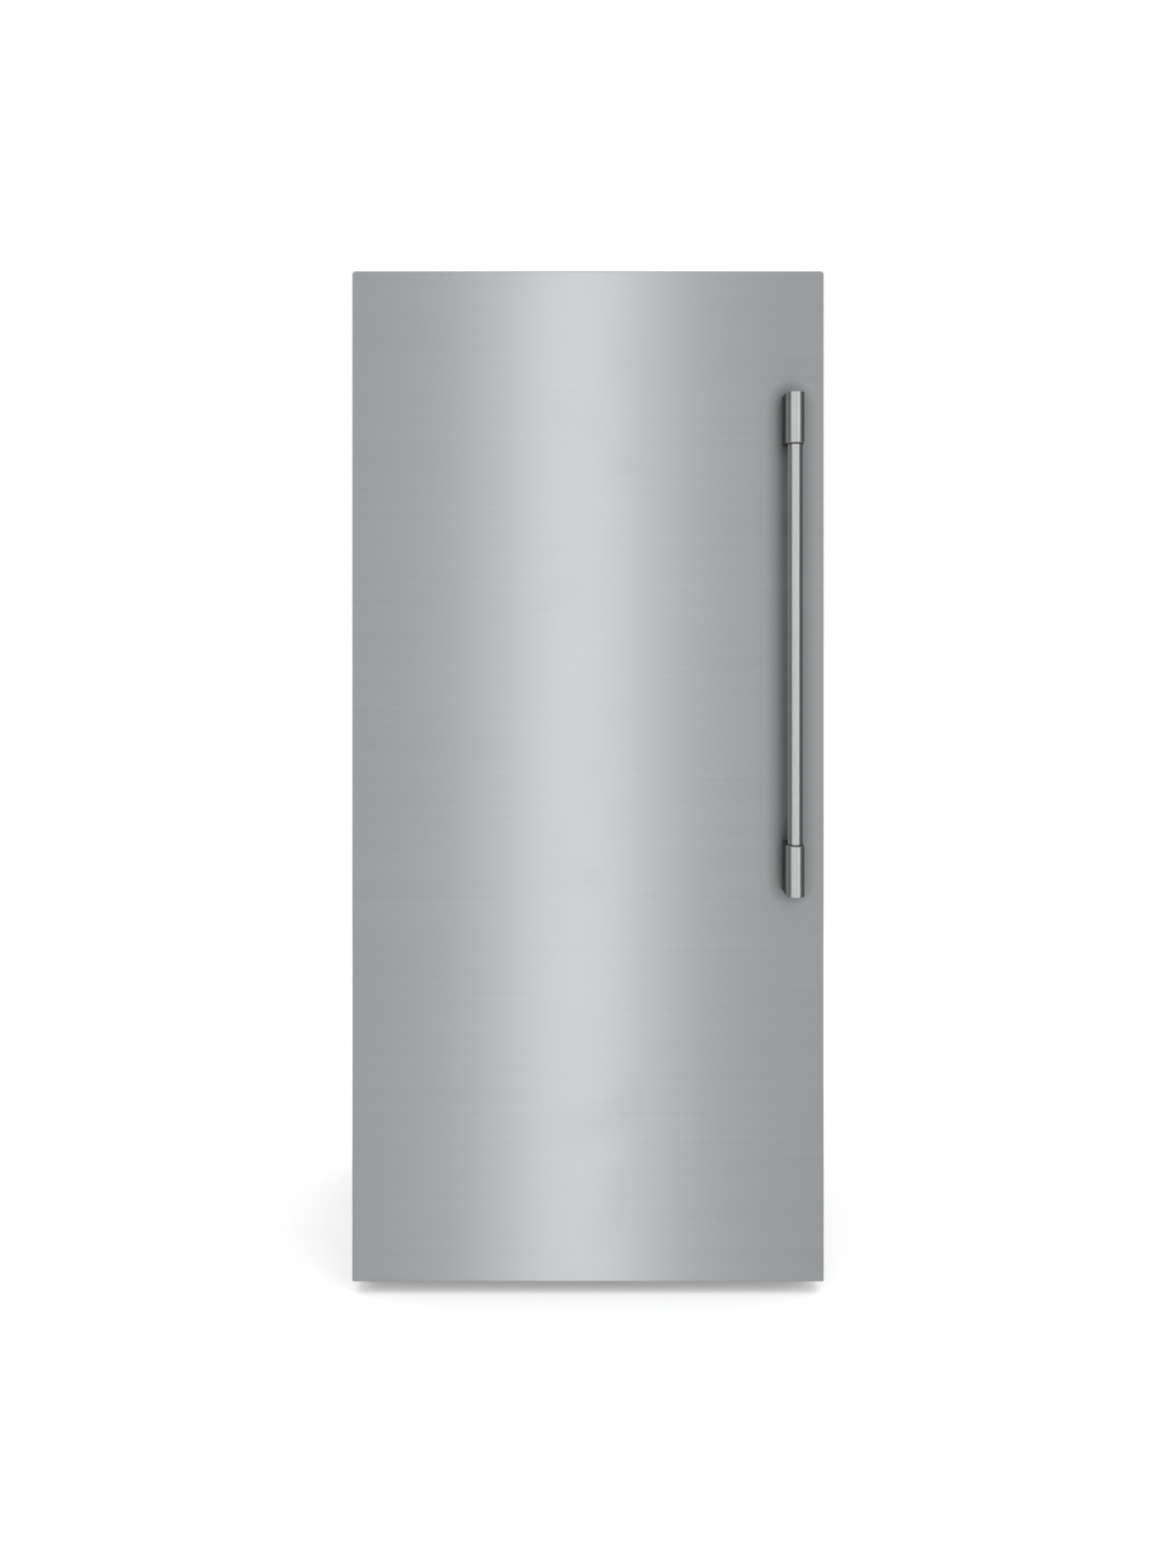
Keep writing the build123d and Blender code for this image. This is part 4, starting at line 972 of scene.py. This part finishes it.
displaySettings = {
    "aboveButton": 6 * mm,  # the window's middle above the underside of the buttons
    "window": (33.6 * mm, 8.6 * mm),  # half width and half height
    "windowDepths": (0.1 * mm, 0.95 * mm),  # behind the panel's front
    "windowRadius": 0.3 * mm,
    "bar": (2 * mm, 0.3 * mm, 4 * mm),  # half width, thickness and half height
    "barProud": 0.15 * mm,
    "barRadius": 0.12 * mm,
    "bars": 7,
    "pitch": 7 * mm,
}


def controlDisplay(settings):  # dark window with a row of glowing bars
    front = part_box("control_panel")[0][1]
    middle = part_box("button_colder")[0][2] + settings["aboveButton"]
    halfWide, halfTall = settings["window"]
    near, far = settings["windowDepths"]
    shape = roundedBlock(
        bmesh.new(),
        (-halfWide, front + near, middle - halfTall),
        (halfWide, front + far, middle + halfTall),
        settings["windowRadius"],
    )
    finished("displayWindow", shape, "nearBlackAndGrooveShade", "cabinet")
    halfWide, thick, halfTall = settings["bar"]
    bar = roundedBlock(
        bmesh.new(), (-halfWide, 0, -halfTall), (halfWide, thick, halfTall), settings["barRadius"], segments=2
    )
    first = -(settings["bars"] - 1) / 2 * settings["pitch"]
    start = (first, front - settings["barProud"], middle)
    layout = inRows(start, settings["bars"], (settings["pitch"], 0, 0))
    repeated("displayBars", bar, "display", "cabinet", layout)


controlDisplay(displaySettings)


markSettings = {
    "long": 4 * mm,  # half lengths of a stroke
    "short": 0.8 * mm,
    "proud": 0.25 * mm,
    "buried": 0.2 * mm,
    "radius": 0.15 * mm,
}


def buttonMarks(settings):  # raised minus and plus signs
    flat = (settings["long"], settings["short"])
    upright = (settings["short"], settings["long"])
    for name, signs in (("button_colder", [flat]), ("button_warmer", [flat, upright])):
        low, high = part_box(name)
        centre = ((low[0] + high[0]) / 2, (low[2] + high[2]) / 2)
        for number, (halfWide, halfTall) in enumerate(signs):
            shape = roundedBlock(
                bmesh.new(),
                (centre[0] - halfWide, low[1] - settings["proud"], centre[1] - halfTall),
                (centre[0] + halfWide, low[1] + settings["buried"], centre[1] + halfTall),
                settings["radius"],
                segments=2,
            )
            finished(f"mark_{name}_{number}", shape, "nearBlackAndGrooveShade", name)


buttonMarks(markSettings)
print("control panel done")


hoodSettings = {
    "columns": 3,
    "rows": 10,
    "columnPitch": 190 * mm,
    "rowPitch": 16 * mm,
    "low": 104 * mm,
    "halfLength": 70 * mm,
    "reach": 4.2 * mm,
    "tall": 7 * mm,
    "top": 4 * mm,  # above the slot's own height
    "thick": 0.8 * mm,
    "buried": 0.2 * mm,
    "cheek": (0.5 * mm, 0.8, 3 * mm),  # half thickness, share of the reach, height
    "cheekRadius": 0.3 * mm,
    "steps": 6,
}


def coverHoods(settings):  # pressed hoods over the air slots of the machine bay's cover
    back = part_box("machine_cover")[1][1]
    root = back - settings["buried"]
    halfLength, reach, tall = settings["halfLength"], settings["reach"], settings["tall"]
    shape = bmesh.new()
    rows = []
    for wall in (0.0, settings["thick"]):
        ring = []
        for step in range(settings["steps"] + 1):
            angle = step / settings["steps"] * pi / 2
            ring.append((sin(angle) * (reach - wall), cos(angle) * (tall - wall)))
        rows.append(ring)
    outline = rows[0] + rows[1][::-1]
    lowest = settings["top"] - tall
    ends = [
        [shape.verts.new((x, root + outward, lowest + upward)) for outward, upward in outline]
        for x in (-halfLength, halfLength)
    ]
    count = len(outline)
    for step in range(count):
        after = (step + 1) % count
        shape.faces.new((ends[0][step], ends[0][after], ends[1][after], ends[1][step]))
    for end in ends:
        shape.faces.new(end)
    half, share, top = settings["cheek"]
    for x in (-halfLength, halfLength):
        roundedBlock(
            shape,
            (x - half, root, lowest),
            (x + half, back + reach * share, top),
            settings["cheekRadius"],
            segments=2,
        )
    layout = inRows(
        (-settings["columnPitch"], 0, settings["low"]),
        settings["columns"],
        (settings["columnPitch"], 0, 0),
        settings["rows"],
        (0, 0, settings["rowPitch"]),
    )
    repeated("coverHoods", shape, "galvanised", "cabinet", layout)


coverHoods(hoodSettings)


beadSettings = {
    "count": 4,
    "first": -240 * mm,
    "pitch": 160 * mm,
    "halfWidth": 9 * mm,
    "low": 360 * mm,
    "high": 1740 * mm,
    "proud": 1.4 * mm,
    "buried": 0.6 * mm,
    "radius": 1 * mm,
}


def panelBeads(settings):  # pressed stiffeners of the rear panel
    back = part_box("rear_panel")[1][1]
    shape = roundedBlock(
        bmesh.new(),
        (-settings["halfWidth"], back - settings["buried"], settings["low"]),
        (settings["halfWidth"], back + settings["proud"], settings["high"]),
        settings["radius"],
        segments=4,
    )
    layout = inRows((settings["first"], 0, 0), settings["count"], (settings["pitch"], 0, 0))
    repeated("panelBeads", shape, "galvanised", "cabinet", layout)


panelBeads(beadSettings)

screwSettings = {
    "radius": 5 * mm,
    "height": 1.7 * mm,
    "crown": 0.12,  # flat top and both recess sizes, as shares of the radius
    "recessLong": 0.62,
    "recessWide": 0.13,
    "recessFloor": 0.55,  # share of the height
    "sunk": 0.3 * mm,
    "x": 392 * mm,
    "rows": {"panel": (330 * mm, 360 * mm, 5), "cover": (90 * mm, 172 * mm, 2)},  # lowest, pitch, count
}


def crossHead(settings, y):  # a pan head with a cross recess, facing +Y
    radius, height = settings["radius"], settings["height"]
    long, wide = radius * settings["recessLong"], radius * settings["recessWide"]
    profile = [(radius, 0.0)]
    for step in range(1, 6):
        angle = step / 6 * pi / 2
        profile.append((radius * cos(angle), height * sin(angle)))
    profile.append((radius * settings["crown"], height))
    shape = turned(bmesh.new(), profile, (0, y, 0), 1, steps=28, closed=False)
    bmesh.ops.recalc_face_normals(shape, faces=shape.faces)
    floor, top = y + height * settings["recessFloor"], y + height + 0.05 * mm
    for across, up in ((long, wide), (wide, long)):
        roundedBlock(shape, (-across, floor, -up), (across, top, up), 0.1 * mm, segments=1)
    return shape


def panelScrews(settings):
    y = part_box("assembly_screws")[1][1] - settings["sunk"]
    x = settings["x"]
    for name, (lowest, pitch, rows) in settings["rows"].items():
        layout = inRows((-x, 0, lowest), 2, (2 * x, 0, 0), rows, (0, 0, pitch))
        repeated(name + "ScrewHeads", crossHead(settings, y), "zinc", "cabinet", layout)


panelScrews(screwSettings)

finSettings = {
    "count": 48,
    "thick": 0.35 * mm,
    "length": 134 * mm,
    "bend": 27 * mm,
    "margin": 1 * mm,
    "radius": 0.1 * mm,
}


def coilFins(settings):  # the close fins of the condenser
    low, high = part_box("condenser_coil")
    half, margin = settings["thick"] / 2, settings["margin"]
    shape = roundedBlock(
        bmesh.new(),
        (low[0] + margin, -half, low[2] + margin),
        (high[0] - margin, half, high[2] - margin),
        settings["radius"],
        segments=1,
    )
    pitch = settings["length"] / (settings["count"] - 1)
    layout = inRows((0, low[1] + settings["bend"], 0), settings["count"], (0, pitch, 0))
    repeated("condenserFins", shape, "fins", "cabinet", layout)


coilFins(finSettings)
print("rear and machine bay done")


def addFloor():
    shape = bmesh.new()
    bmesh.ops.create_grid(shape, x_segments=4, y_segments=4, size=floorSettings["size"])
    mesh = bpy.data.meshes.new("floor")
    shape.to_mesh(mesh)
    shape.free()
    mesh.materials.append(floorMaterial())
    floor = bpy.data.objects.new("floor", mesh)
    scene.collection.objects.link(floor)
    floor.location = (0, 0, -floorSettings["drop"])
    floor.visible_glossy = False
    floor.visible_shadow = False


addFloor()
